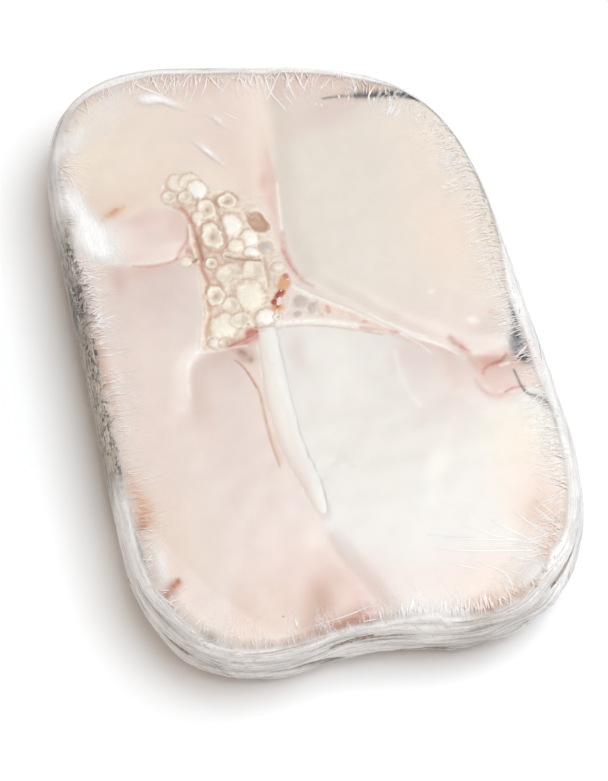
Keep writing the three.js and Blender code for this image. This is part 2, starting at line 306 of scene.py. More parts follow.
class Steak:
    """Measures the slice: its rim line, its side and the height of its face."""

    steps = 880

    def __init__(self, form: SteakForm) -> None:
        """Args: form: the slice's sizes."""
        self.form = form
        self.rim = self._rim_points()
        self.normals = ring_normals(self.rim)
        self.line = Trace(self.rim)
        self.perimeter = sum((self.rim[i] - self.rim[i - 1]).length for i in range(len(self.rim)))
        self.seams = [(seam, Trace(smooth_line(seam.through))) for seam in form.seams]

    def _rim_points(self) -> list[Vector]:
        """The rim line as evenly spaced points, counter-clockwise."""
        corners = self.form.corners
        rough: list[Vector] = []
        for i, corner in enumerate(corners):
            at = Vector(corner.at)
            before = (Vector(corners[i - 1].at) - at).normalized() * corner.setback
            after = (Vector(corners[(i + 1) % len(corners)].at) - at).normalized() * corner.setback
            start, end = at + before, at + after
            bend_in, bend_out = start.lerp(at, corner.fullness), end.lerp(at, corner.fullness)
            for step in range(121):
                t = step / 120
                s = 1 - t
                rough.append(start * s**3 + bend_in * 3 * s * s * t + bend_out * 3 * s * t * t + end * t**3)
        rough.append(rough[0])
        lengths = [0.0]
        for a, b in zip(rough, rough[1:]):
            lengths.append(lengths[-1] + (b - a).length)
        ring, piece = [], 0
        for step in range(self.steps):
            target = lengths[-1] * step / self.steps
            while lengths[piece + 1] < target:
                piece += 1
            span = lengths[piece + 1] - lengths[piece]
            share = (target - lengths[piece]) / span if span else 0.0
            ring.append(rough[piece].lerp(rough[piece + 1], share))
        waist = Vector(self.form.waist_at)
        return [
            point - normal * self.form.waist_depth * bell((point - waist).length, self.form.waist_reach)
            for point, normal in zip(ring, ring_normals(ring))
        ]

    def bulge(self, normal: Vector) -> float:
        """How far the side stands out of the rim line where it faces along a normal."""
        form = self.form
        sideways = form.bulge_left if normal.x < 0 else form.bulge_right
        lengthways = form.bulge_near if normal.y < 0 else form.bulge_far
        return sideways * normal.x**2 + lengthways * normal.y**2

    def side(self, index: int, turn: float, stand: float = 0.0, relief: float = 0.0) -> Vector:
        """A place on the side.

        Args:
            index: which point of the rim line it belongs to.
            turn: 0 at the rim of the upper face, 1 at the foot.
            stand: how far off the side's own surface it is, inwards if negative.
            relief: how much further out it stands sideways.

        Returns:
            The place in millimetres.
        """
        form = self.form
        normal = self.normals[index]
        angle = math.pi * (0.5 - turn)
        inset = form.rim_inset if angle > 0 else form.foot_inset
        power = 2 / form.squareness
        reach = inset + self.bulge(normal)
        out = reach * abs(math.cos(angle)) ** power - inset
        lift = math.copysign(abs(math.sin(angle)) ** power, angle)
        slope = Vector((math.cos(angle), math.sin(angle)))
        flat = self.rim[index] + normal * (out + stand * slope.x + relief)
        height = HALF * (1 + lift) + stand * slope.y
        if turn < 0.5:
            height += (self.face(flat.x, flat.y) - THICKNESS) * ramp(lift, 0.6, 1.0)
        return Vector((flat.x, flat.y, height))

    def face(self, x: float, y: float) -> float:
        """The height of the upper face of the film at a place."""
        edge = min(1.0, math.hypot(x / 48, y / 72))
        sunk = max(seam.depth * bell(line.distance(x, y), seam.width) for seam, line in self.seams)
        return THICKNESS - self.form.crown * edge**4 - sunk

    def inset(self, x: float, y: float) -> float:
        """How far inside the rim line a place is; outside, it is negative."""
        index, distance = self.line.nearest(x, y)
        away = Vector((x, y)) - self.rim[index]
        return -distance if away.dot(self.normals[index]) > 0 else distance

    def crease(self, place: Vector) -> float:
        """How deep in the one long crease of the near side a place is, from 0 to 1."""
        height = 11.4 - 5.8 * ramp(place.x, -30, 3) + 1.1 * wander(place.x, place.y, 0, 9, 6)
        near = ramp(-place.y, 40, 58)
        near *= 0.45 + 0.55 * ramp(place.x, -32, -18)
        return near * bell(place.z - height, 1.0) * (1 - 0.6 * ramp(place.x, 4, 14))

    def index_at(self, place: Place) -> int:
        """The rim point that is nearest to a place."""
        return self.line.nearest(*place)[0]


# ---- colours of the cut face


@dataclass(frozen=True)
class MuscleBlock:
    """One muscle block of the cut face, with its own flesh tone."""

    name: str
    tone: Tone
    outline: tuple[Place, ...]


@dataclass(frozen=True)
class Blush:
    """A soft patch where the flesh turns to another tone."""

    tone: Tone
    at: Place
    reach: Place
    strength: float
    turn: float = 0.0
    block: str = ""

    @classmethod
    def of(
        cls, tone: str, x: float, y: float, across: float, along: float, *rest: float, block: str = ""
    ) -> "Blush":
        """The patch of one row of a table."""
        return cls(Tone[tone], (x, y), (across, along), *rest, block=block)

    def weight(self, x: float, y: float) -> float:
        """How strongly the patch shows at a place."""
        dx, dy = x - self.at[0], y - self.at[1]
        if abs(dx) + abs(dy) > 3.2 * max(self.reach):
            return 0.0
        c, s = math.cos(math.radians(self.turn)), math.sin(math.radians(self.turn))
        across, along = (dx * c + dy * s) / self.reach[0], (dy * c - dx * s) / self.reach[1]
        return self.strength * math.exp(-(across * across + along * along))


@dataclass(frozen=True)
class Strand:
    """A thin line across a bone or the flesh, such as a vessel or a membrane."""

    tone: Tone
    through: tuple[Place, ...]
    width: float
    strength: float
    relief: float = 0.0

    @classmethod
    def of(cls, tone: str, sizes: Sequence[float], *numbers: float) -> "Strand":
        """The line of one row of a table."""
        return cls(Tone[tone], pairs(numbers), *sizes)


# block, then tone, x and y, reach across and along, strength, turn
BLUSHES = (
    ("upper right", (
        ("GREENISH", 13, 27, 13, 19, 0.8), ("BEIGE", 36, 14, 9, 16, 0.8), ("BEIGE", 36, 38, 8, 9, 0.7),
        ("PEACH", 35, 14, 8, 13, 0.5), ("PINK", 15, 60, 13, 5, 0.9), ("BROWN", 27, 54, 9, 2.6, 0.6, 8),
        ("MAUVE", 16, 50, 9, 4, 0.8, 5), ("PALE", 28, -2, 12, 6, 0.6, -20), ("MAUVE", 37, -9, 6, 5, 0.6),
        ("ROSE", 24, -5, 8, 3, 0.6, -25),
    )),
    ("upper left", (
        ("YELLOW", -36, 50, 7, 9, 0.6), ("ROSE", -7, 52, 11, 10, 0.8), ("PINK", -4, 38, 4, 12, 0.35, 12),
        ("PINK", 0.6, 36, 1.6, 10, 0.8, -4), ("RED", -1, 37, 1, 3.4, 0.35, -6),
        ("PINK", -14, 65, 16, 3.4, 0.7, -10), ("PEACH", -38, 40, 4, 6, 0.8, 25),
        ("ORANGE", -35, 37, 4, 1.5, 0.5, 24), ("PEACH", -30, 39, 7, 4, 0.6), ("PEACH", -22, 43, 5, 5, 0.5),
    )),
    ("lobe", (
        ("WHITE", -38, 31, 5, 4.5, 0.9), ("PINK", -29, 34.2, 4, 1.8, 0.55, -8),
        ("PINK", -21, 32, 2.5, 6, 0.6),
    )),
    ("left", (
        ("MAUVE", -29, 16, 9, 8, 0.9), ("RED", -36.6, 21, 1.4, 3.6, 0.3, -12),
        ("PINK", -30, 22, 7, 1.6, 0.7), ("ROSE", -36, -12, 6, 20, 0.7), ("PEACH", -39, -38, 6, 14, 0.7),
    )),
    ("lower left", (
        ("MAUVE", -18, -4, 8, 7, 0.8), ("PINK", -19, -1, 7, 3, 0.5, -10), ("MAUVE", -21, -25, 6, 16, 0.4),
        ("PEACH", -13, -14, 1.6, 12, 0.8, 4), ("ROSE", -20, -48, 8, 9, 0.8),
        ("PINK", -27, -8, 3, 12, 0.4, 4), ("PEACH", -27, -60, 13, 6, 0.9, 12),
        ("PINK", -12, -58, 7, 9, 0.9), ("PINK", -27, -57, 8, 6, 0.4),
    )),
    ("", (
        ("PINK", -4, -60, 7, 7, 0.9), ("BROWN", -12.6, -60, 3, 6, 1, -30),
        ("BROWN", -9.5, -65.2, 7, 2.4, 0.95, 8), ("RED", -9, -66, 7, 1.8, 0.5, 8),
        ("RUST", -8, -65, 6, 1.6, 0.3, 8), ("RUST", -5.4, -64.7, 1.8, 0.8, 0.7, 6),
    )),
    ("lower right", (
        ("WHITE", 3, -12, 5, 9, 0.3), ("GREENISH", 13, -28, 14, 12, 0.5), ("MAUVE", 24, -24, 7, 8, 0.45),
        ("WHITE", 18, -38, 2.2, 9, 0.4, -30), ("MAUVE", -3.6, -5, 2, 5, 0.6), ("PALE", 10, -60, 14, 5, 0.8),
        ("MAUVE", 20, -13, 6, 5, 0.7, -35), ("PINK", 28, -16, 3.4, 7, 0.6), ("YELLOW", 37, -36, 8, 10, 0.8),
        ("PEACH", 38, -48, 7, 8, 0.9, -20), ("ORANGE", 38, -54, 6, 4, 0.5, -40),
        ("ORANGE", 28, -67, 9, 3, 0.7, 24), ("PEACH", 22, -63, 10, 6, 0.7, 20),
    )),
    ("side fold", (
        ("MAUVE", 41, -20, 5, 3, 0.6), ("BEIGE", 44, -22, 3, 4, 0.7), ("RED", 36, -16.2, 4, 1.4, 0.35, -5),
    )),
    ("", (
        ("ORANGE", -43.4, -31, 2, 6, 0.8, 6), ("RUST", -44, -34, 1.3, 2.4, 0.6),
        ("YELLOW", -37, -60, 3, 2.4, 0.8, 30), ("SLATE", -36.3, -62, 1.1, 1.3, 0.75),
        ("ORANGE", -44.4, 3, 0.9, 9, 0.7), ("ORANGE", 19, -68.4, 5, 1.6, 0.9, 10),
        ("RUST", 20, -69.2, 3.4, 0.8, 0.5, 10), ("ORANGE", 36, -61, 4, 2.4, 0.7, 50),
        ("RUST", 38, -61, 2.4, 1, 0.5, 50), ("BROWN", -4, 71, 40, 3, 0.5, -8),
        ("BROWN", -38, 66, 10, 3, 0.35, 35), ("BROWN", -14, -69, 26, 2, 0.6),
    )),
)

# tone, width and strength, then x and y in turn
FLESH_LINES = (
    ("BONE", (0.4, 0.7), -41.1, 25.3, -37.2, 25.8, -34, 24.8, -29.4, 23.8, -25.4, 23.5, -21.6, 24.6),
    ("RED", (0.4, 0.35), -33, 23.9, -29.4, 22.9, -25.2, 22.8, -22.6, 23.4),
    ("RED", (0.5, 0.6), -23.6, 23.2, -21.9, 25.2, -20.6, 26.6),
    ("RED", (0.45, 0.55), -20.6, 26, -19.8, 28.5, -19, 31.3, -19.4, 33.4, -21.4, 35.4),
    ("BROWN", (0.5, 0.4), -23, 36.6, -21, 35.6, -19.6, 33.6),
    ("ORANGE", (0.8, 0.5), -38.2, 35.4, -36, 36.6, -34, 37.3, -32, 38.2),
    ("RED", (0.6, 0.5), -34.8, 37.4, -33.6, 38),
    ("WHITE", (0.36, 0.9), 1.9, 36, 1.3, 32, 0.7, 28, 0.1, 24, -0.2, 20.6),
    ("PINK", (0.9, 0.6), 1.6, 44, 0.2, 36, -0.6, 29, -0.8, 22, 0, 17),
    ("RED", (0.8, 0.5), 0.2, 24, -0.4, 19.3, 0.1, 15.6, 1.2, 12.6, 3.4, 10),
    ("RED", (0.36, 0.45), -1, 20, -0.2, 16.5, 0.9, 13.4),
    ("WHITE", (0.5, 0.55), 2.2, 12, 6.4, 7.6, 11.7, 2.8, 18.8, -4, 24, -7.6),
    ("PINK", (0.35, 0.5), 1.6, 12.4, 6, 8, 11, 3.4, 17, -2),
    ("PINK", (1, 0.6), 16, -3.6, 20, -7, 24, -9.6, 28, -12.4),
    ("WHITE", (0.3, 0.75), 18.8, -5.3, 22.6, -7.7, 26.3, -10, 29.5, -13),
    ("WHITE", (0.26, 0.6), 18.6, -5.4, 21.9, -8.6, 24, -11.6),
    ("ORANGE", (0.26, 0.5), -6.7, 1.6, -4.4, 1.7, -0.7, 1, 3.9, -0.3, 10.6, -3, 15, -5),
    ("RED", (0.4, 0.45), 11.4, -2.8, 14, -3.9, 17, -5),
    ("RED", (1, 0.7), 28.9, -9.1, 29.6, -10.2, 30.4, -11.4, 31.8, -13),
    ("RUST", (0.35, 0.45), 30.4, -11.2, 31.8, -13), ("PINK", (0.5, 0.7), 31.6, -13, 32.6, -15, 34, -17.4),
    ("RED", (0.55, 0.65), 33.4, -18.9, 33.9, -17.9, 35, -17.3, 36.6, -17, 38.3, -16.6, 39.5, -15.4),
    ("UMBER", (0.36, 0.6), 36, -17, 38.3, -16.5, 39.6, -15.2),
    ("WHITE", (0.4, 0.8), 37.5, -17.8, 39.6, -17.6),
    ("PINK", (1.8, 0.5), 31.6, -16, 32.2, -20, 33.4, -23.2, 36, -24.8, 40, -24.6),
    ("RED", (0.7, 0.35), 31.6, -20, 32.4, -22.6, 34.5, -24.3, 37.4, -24.4),
    ("RED", (0.34, 0.85), 36.8, -24, 38.9, -23.5, 41.2, -23.7),
    ("SLATE", (0.36, 0.85), 40, -19.5, 40.3, -21.6, 40.6, -23.7, 41.6, -25.6, 43.6, -26.7, 45.4, -28.8),
    ("SLATE", (0.9, 0.45), 42.6, -26.4, 44.4, -28, 45.8, -30.2),
    ("SLATE", (0.5, 0.7), 45.4, -32.4, 46.1, -34, 46, -35.6),
    ("INK", (0.8, 1), 43.9, -4.4, 43.2, -10, 42.7, -13, 42.4, -17),
    ("INK", (2, 1), 42.4, -12, 42.6, -15, 43.2, -17.4),
    ("SLATE", (0.42, 0.65), 16.6, 53.7, 20.8, 53.3, 24.1, 52.6, 28, 51.9),
    ("SLATE", (1.2, 1), 24, 52.8, 29, 52, 32.4, 51.7, 35.6, 50.7, 38, 49.6),
    ("SLATE", (0.8, 0.7), 30, 51.6, 33, 51, 36, 50),
    ("BROWN", (0.34, 0.8), -17, -3.2, -15.9, -4.4, -14.4, -8.2, -13.6, -12.2, -13.8, -18, -13.8, -24, -13.4,
        -29),
    ("RUST", (0.2, 0.5), -16.6, -3.6, -15.2, -6, -14, -10.4),
    ("UMBER", (1.5, 0.7), -15.4, -1.6, -14.4, -2.7, -13.6, -3.8),
    ("ORANGE", (0.7, 0.35), -13.8, -20, -13.3, -24, -13.2, -28),
    ("RED", (1.1, 0.8), -16.9, 0, -14.1, 0.1, -12, 0.8, -9.9, 1.7),
    ("WHITE", (0.4, 0.6), -24.4, 0.6, -20.4, 0, -17, -0.2, -13.6, -0.6),
    ("WHITE", (0.6, 0.5), -23.4, 1, -26, -1.2, -27.3, -4.2, -28, -9),
    ("YELLOW", (0.4, 0.7), -19.9, 19, -20.4, 14.1, -20.7, 11.3, -21.1, 8.6, -22.9, 5.4, -24, 1.6),
    ("WHITE", (0.7, 0.3), 16.6, -9.5, 16.4, -14.6, 17.2, -19.5, 18.5, -22.8),
    ("RUST", (1.5, 1), -42.6, -50.6, -41.1, -49.4, -39.8, -48.6),
    ("RUST", (0.36, 0.8), -43.2, -51, -42, -50.4, -40.6, -49.6),
    ("RUST", (0.4, 0.6), -40.4, -48.7, -39.4, -47.9), ("WHITE", (0.6, 0.6), 27.3, 2.3, 28.2, 2.3),
    ("WHITE", (1, 0.6), 33.8, -6, 35.4, -6.6), ("ORANGE", (0.8, 0.4), 38.6, -5.2, 40.2, -6.2),
    ("DEEP_RED", (0.2, 0.8), -9.5, -6, -9.2, -6.2), ("SLATE", (0.2, 0.6), -20.7, -60.9, -20.4, -61),
)


class FleshTones:
    """Gives the colour of the raw flesh at any place of the cut."""

    blur = 0.9
    blocks = (
        MuscleBlock("upper right", Tone.CREAM, (
            (7.6, 90), (7.6, 65.7), (5.6, 55.7), (3.3, 46), (1.3, 36.3), (0.1, 27.8), (-0.1, 20.4),
            (1.3, 12.7), (6.4, 6.5), (11.7, 1.6), (18.8, -5.1), (26.4, -9.8), (33, -13.9),
            (39.6, -13.8), (60, -15), (60, 90))),
        MuscleBlock("upper left", Tone.BEIGE, (
            (7.6, 90), (7.6, 65.7), (5.6, 55.7), (3.3, 46), (1.3, 36.3), (0.1, 27.8), (-0.1, 20.4),
            (-10, 20), (-20, 34), (-23.3, 35.6), (-26.3, 36.9), (-31, 35.6), (-34.5, 35.6),
            (-37, 37.5), (-38.5, 40), (-60, 46), (-60, 90))),
        MuscleBlock("lobe", Tone.ROSE, (
            (-60, 46), (-38.5, 40), (-37, 37.5), (-34.5, 35.6), (-31, 35.6), (-26.3, 36.9),
            (-23.3, 35.6), (-18, 31), (-18, 25), (-20.3, 24.2), (-24.9, 23.2), (-29.4, 23.3),
            (-34.5, 24.8), (-39.8, 25.6), (-60, 26))),
        MuscleBlock("left", Tone.PALE, (
            (-60, 26), (-39.8, 25.6), (-34.5, 24.8), (-29.4, 23.3), (-24.9, 23.2), (-20.3, 24.2),
            (-18, 22), (-18, 5), (-20, 1), (-23.3, 0.6), (-26.1, -1.4), (-27.6, -4.4), (-28.2, -10),
            (-29, -30), (-31, -60), (-60, -75))),
        MuscleBlock("lower left", Tone.PALE, (
            (-20, 1), (-9, 2), (-9, -20), (-7.6, -40), (-5, -54), (-3, -62), (-1, -90), (-34, -90),
            (-31, -60), (-29, -30), (-28.2, -10), (-27.6, -4.4), (-26.1, -1.4), (-23.3, 0.6))),
        MuscleBlock("lower right", Tone.MILK, (
            (-9, 2), (3.7, 0.4), (8.7, -1.6), (14.2, -4.1), (18.8, -5.1), (26.4, -9.8), (31, -13),
            (31.8, -17.4), (32.7, -20.5), (34.8, -24), (45, -24.3), (60, -26), (60, -90), (-1, -90),
            (-3, -62), (-5, -54), (-7.6, -40), (-9, -20))),
        MuscleBlock("side fold", Tone.PINK, (
            (31, -13), (33, -13.9), (39.6, -13.8), (60, -15), (60, -26), (45, -24.3), (34.8, -24),
            (32.7, -20.5), (31.8, -17.4))),
    )
    blushes = [Blush.of(*row, block=block) for block, rows in BLUSHES for row in rows]

    lines = [Strand.of(*row) for row in FLESH_LINES]

    def __init__(self) -> None:
        """Measures each block's outline and each line once."""
        self.traces = [Trace(smooth_line(line.through, step=0.15)) for line in self.lines]
        self.all_lines = Trace([point for trace in self.traces for point in trace.points])
        self.loops = []
        for block in self.blocks:
            ring: list[Vector] = []
            for a, b in zip(block.outline, block.outline[1:] + block.outline[:1]):
                start, end = Vector(a), Vector(b)
                pieces = max(1, round((end - start).length / 0.8))
                ring += [start.lerp(end, i / pieces) for i in range(pieces)]
            self.loops.append(Loop(ring))

    def shares(self, x: float, y: float) -> dict[str, float]:
        """How far a place belongs to each block."""
        found = {}
        for block, loop in zip(self.blocks, self.loops):
            if not (loop.low.x - 3 < x < loop.high.x + 3 and loop.low.y - 3 < y < loop.high.y + 3):
                continue
            share = ramp(loop.depth(x, y), -self.blur, self.blur)
            if share > 0:
                found[block.name] = share
        total = sum(found.values()) or 1.0
        return {name: share / total for name, share in found.items()}

    def at(self, x: float, y: float, z: float = THICKNESS) -> Colour:
        """The flesh's colour at a place of the cut face."""
        shift = 0.9
        u = x + shift * wander(x, y, 0, 7, 3)
        v = y + shift * wander(x, y, 0, 7, 9)
        shares = self.shares(u, v)
        colour = (0.0, 0.0, 0.0)
        for block in self.blocks:
            share = shares.get(block.name, 0.0)
            if share:
                colour = tuple(c + share * p for c, p in zip(colour, block.tone.paint))
        if not shares:
            colour = Tone.PALE.paint
        for blush in self.blushes:
            weight = blush.weight(u, v)
            if weight < 0.004:
                continue
            if blush.block:
                weight *= shares.get(blush.block, 0.0)
            colour = mixed(colour, blush.tone.paint, min(1.0, weight))
        if z > HALF and self.all_lines.distance(x, y) < 2.2:
            patchy = 0.9 + 0.4 * wander(x, y, 0, 1.3, 7)
            for strand, trace in zip(self.lines, self.traces):
                index, distance = trace.nearest(x, y)
                if distance < 2.4 * strand.width:
                    along = index / (len(trace.points) - 1)
                    width = strand.width * (0.65 + 0.35 * math.sin(math.pi * along))
                    share = strand.strength * patchy * bell(distance, width)
                    colour = mixed(colour, strand.tone.paint, min(1.0, share))
        cloud = 1 + 0.018 * wander(x, y, z, 9, 1) + 0.022 * wander(x, y, z, 2.4, 5)
        return tuple(channel * cloud for channel in colour)


# ---- shader nodes


class Nodes:
    """Adds and joins the nodes of one material or group."""

    def __init__(self, tree: bpy.types.NodeTree) -> None:
        """Args: tree: the node tree to fill."""
        self.tree = tree

    def add(self, kind: str, inputs: dict | None = None, **settings: object) -> bpy.types.Node:
        """Adds a node.

        Args:
            kind: the node's type name.
            inputs: a value or an output socket for each named or numbered input.
            **settings: the node's own settings.

        Returns:
            The new node.
        """
        node = self.tree.nodes.new(kind)
        for name, value in settings.items():
            setattr(node, name, value)
        for name, value in (inputs or {}).items():
            socket = node.inputs[name]
            if isinstance(value, Socket):
                self.link(value, socket)
            else:
                socket.default_value = value
        return node

    def link(self, source: Socket, target: Socket) -> None:
        """Joins an output to an input."""
        self.tree.links.new(source, target)

    def relief(self, height: Socket, strength: float, distance: float, shader: bpy.types.Node) -> None:
        """Gives a shader the fine relief of a height."""
        bump = self.add("ShaderNodeBump", {"Height": height, "Strength": strength, "Distance": distance})
        self.link(bump.outputs["Normal"], shader.inputs["Normal"])

    def math(self, operation: str, *values: object, clamp: bool = False) -> Socket:
        """The result of a sum on numbers or sockets."""
        node = self.add("ShaderNodeMath", dict(enumerate(values)), operation=operation)
        node.use_clamp = clamp
        return node.outputs[0]

    def blend(self, share: object, first: object, second: object, kind: str = "MIX") -> Socket:
        """Two colours blended by a share."""
        node = self.add("ShaderNodeMix", data_type="RGBA", blend_type=kind)
        for index, value in ((0, share), (6, first), (7, second)):
            if isinstance(value, Socket):
                self.link(value, node.inputs[index])
            else:
                node.inputs[index].default_value = value
        return node.outputs[2]

    def steps(self, value: object, low: float, high: float) -> Socket:
        """A value stretched so that low gives 0 and high gives 1, smoothly."""
        node = self.add(
            "ShaderNodeMapRange",
            {"Value": value, "From Min": low, "From Max": high},
            interpolation_type="SMOOTHSTEP",
        )
        return node.outputs["Result"]

    def noise(self, vector: object, scale: float, detail: float = 2.0, rough: float = 0.5) -> Socket:
        """Smooth noise over a vector."""
        node = self.add(
            "ShaderNodeTexNoise",
            {"Vector": vector, "Scale": scale, "Detail": detail, "Roughness": rough},
        )
        return node.outputs["Fac"]

    def stretched(self, vector: object, scale: tuple[float, float, float], turn: float = 0.0) -> Socket:
        """A vector stretched along its axes and turned about Z."""
        node = self.add(
            "ShaderNodeMapping",
            {"Vector": vector, "Scale": scale, "Rotation": (0, 0, math.radians(turn))},
        )
        return node.outputs["Vector"]


def effect_group(
    name: str, inputs: dict[str, tuple[str, object]], outputs: dict[str, str]
) -> tuple[Nodes, dict, dict]:
    """Starts a shader node group.

    Args:
        name: what the effect is called.
        inputs: each input's socket type and its usual value.
        outputs: each output's socket type.

    Returns:
        The group's nodes, its inputs as sockets, and its output node's sockets.
    """
    tree = bpy.data.node_groups.new(name, "ShaderNodeTree")
    for label, (kind, usual) in inputs.items():
        socket = tree.interface.new_socket(name=label, in_out="INPUT", socket_type=kind)
        if usual is not None:
            socket.default_value = usual
    for label, kind in outputs.items():
        tree.interface.new_socket(name=label, in_out="OUTPUT", socket_type=kind)
    nodes = Nodes(tree)
    start = nodes.add("NodeGroupInput")
    end = nodes.add("NodeGroupOutput")
    return nodes, {k: start.outputs[k] for k in inputs}, {k: end.inputs[k] for k in outputs}


class Effects:
    """The effects that several finishes share, each built once."""

    def __init__(self) -> None:
        """Builds every group."""
        self.grain = self._grain()
        self.crinkle = self._crinkle()
        self.flecks = self._flecks()

    @staticmethod
    def _grain() -> bpy.types.NodeTree:
        """Fine cloudy grain that lightens and darkens a colour, with its own low relief."""
        nodes, given, made = effect_group(
            "frozen grain",
            {
                "Colour": ("NodeSocketColor", (0.8, 0.7, 0.6, 1)),
                "Vector": ("NodeSocketVector", None),
                "Strength": ("NodeSocketFloat", 0.06),
            },
            {"Colour": "NodeSocketColor", "Height": "NodeSocketFloat"},
        )
        soft = nodes.noise(given["Vector"], 260, 3, 0.55)
        fine = nodes.noise(given["Vector"], 1500, 2, 0.6)
        both = nodes.math("ADD", nodes.math("MULTIPLY", soft, 0.6), nodes.math("MULTIPLY", fine, 0.4))
        swing = nodes.math("MULTIPLY", nodes.math("SUBTRACT", both, 0.5), given["Strength"])
        level = nodes.math("ADD", swing, 1.0)
        grey = nodes.add("ShaderNodeCombineColor", {0: level, 1: level, 2: level}).outputs[0]
        tinted = nodes.blend(1.0, given["Colour"], grey, "MULTIPLY")
        nodes.link(tinted, made["Colour"])
        nodes.link(both, made["Height"])
        return nodes.tree

    @staticmethod
    def _crinkle() -> bpy.types.NodeTree:
        """Sharp wandering creases of tight film, as a mask and a relief."""
        nodes, given, made = effect_group(
            "film crinkle",
            {"Vector": ("NodeSocketVector", None), "Coverage": ("NodeSocketFloat", 0.5)},
            {"Mask": "NodeSocketFloat", "Height": "NodeSocketFloat"},
        )
        bent = nodes.noise(given["Vector"], 1.0, 3, 0.6)
        ridge = nodes.math("ABSOLUTE", nodes.math("SUBTRACT", bent, 0.5))
        sharp = nodes.math("SUBTRACT", 1.0, nodes.math("MULTIPLY", ridge, 9.0), clamp=True)
        spread = nodes.noise(given["Vector"], 0.37, 2, 0.5)
        level = nodes.math("SUBTRACT", 1.0, given["Coverage"])
        above = nodes.math("SUBTRACT", spread, nodes.math("MULTIPLY", level, 0.8))
        gate = nodes.math("MULTIPLY", above, 6.0, clamp=True)
        mask = nodes.math("MULTIPLY", nodes.math("POWER", sharp, 2.0), gate)
        nodes.link(mask, made["Mask"])
        nodes.link(sharp, made["Height"])
        return nodes.tree

    @staticmethod
    def _flecks() -> bpy.types.NodeTree:
        """Small scattered dashes, as a mask."""
        nodes, given, made = effect_group(
            "skin flecks",
            {"Vector": ("NodeSocketVector", None), "Amount": ("NodeSocketFloat", 0.5)},
            {"Mask": "NodeSocketFloat"},
        )
        fine = nodes.noise(given["Vector"], 1.0, 2, 0.7)
        wide = nodes.noise(given["Vector"], 0.22, 2, 0.5)
        both = nodes.math("ADD", nodes.math("MULTIPLY", fine, 0.65), nodes.math("MULTIPLY", wide, 0.35))
        level = nodes.math("SUBTRACT", 0.82, nodes.math("MULTIPLY", given["Amount"], 0.5))
        mask = nodes.math("MULTIPLY", nodes.math("SUBTRACT", both, level), 14.0, clamp=True)
        nodes.link(mask, made["Mask"])
        return nodes.tree


@dataclass(frozen=True)
class Finish:
    """What every finish holds: its name and its gloss."""

    name: str
    roughness: float = 0.4
    coat: float = 0.0
    coat_roughness: float = 0.12
    depth: float = 0.0
    gloss: float = 0.5

    def start(self) -> tuple[Material, Nodes, bpy.types.Node]:
        """A new material with its shader, ready for colours."""
        material = bpy.data.materials.new(self.name)
        material.use_nodes = True
        nodes = Nodes(material.node_tree)
        shader = material.node_tree.nodes["Principled BSDF"]
        shader.inputs["Roughness"].default_value = self.roughness
        shader.inputs["Specular IOR Level"].default_value = self.gloss
        shader.inputs["Coat Weight"].default_value = self.coat
        shader.inputs["Coat Roughness"].default_value = self.coat_roughness
        if self.depth:
            shader.inputs["Subsurface Weight"].default_value = self.depth
            shader.inputs["Subsurface Radius"].default_value = (1.0, 0.55, 0.4)
            shader.inputs["Subsurface Scale"].default_value = 0.0016
        return material, nodes, shader


@dataclass(frozen=True)
class FleshFinish(Finish):
    """Raw frozen flesh or bone: painted tones, fine grain and the gloss of the clinging film."""

    grain: float = 0.08
    relief: float = 0.1

    def build(self, effects: Effects) -> Material:
        """The finished material."""
        material, nodes, shader = self.start()
        tint = nodes.add("ShaderNodeVertexColor", layer_name="tint").outputs["Color"]
        where = nodes.add("ShaderNodeTexCoord").outputs["Object"]
        given = {"Colour": tint, "Vector": where, "Strength": self.grain}
        grain = nodes.add("ShaderNodeGroup", given, node_tree=effects.grain)
        nodes.link(grain.outputs["Colour"], shader.inputs["Base Color"])
        nodes.relief(grain.outputs["Height"], self.relief, 0.0004, shader)
        return material


@dataclass(frozen=True)
class SkinFinish(Finish):
    """Silver hake skin with black dashes and pale flecks that run round the side."""

    black: tuple[float, float, float, float] = (0.07, 0.067, 0.06, 1)
    silver: tuple[float, float, float, float] = (0.72, 0.71, 0.68, 1)

    def build(self, effects: Effects) -> Material:
        """The finished material."""
        material, nodes, shader = self.start()
        tint = nodes.add("ShaderNodeVertexColor", layer_name="tint").outputs["Color"]
        where = nodes.add("ShaderNodeUVMap", uv_map="wrap").outputs["UV"]
        long = {"Vector": nodes.stretched(where, (900, 2300, 1), 8), "Amount": 0.68}
        dashes = nodes.add("ShaderNodeGroup", long, node_tree=effects.flecks)
        short = {"Vector": nodes.stretched(where, (500, 2300, 1), -6), "Amount": 0.56}
        pale = nodes.add("ShaderNodeGroup", short, node_tree=effects.flecks)
        darkened = nodes.blend(nodes.math("MULTIPLY", dashes.outputs["Mask"], 0.88), tint, self.black)
        whole = nodes.blend(nodes.math("MULTIPLY", pale.outputs["Mask"], 0.85), darkened, self.silver)
        nodes.link(whole, shader.inputs["Base Color"])
        nodes.relief(dashes.outputs["Mask"], 0.3, 0.0001, shader)
        return material


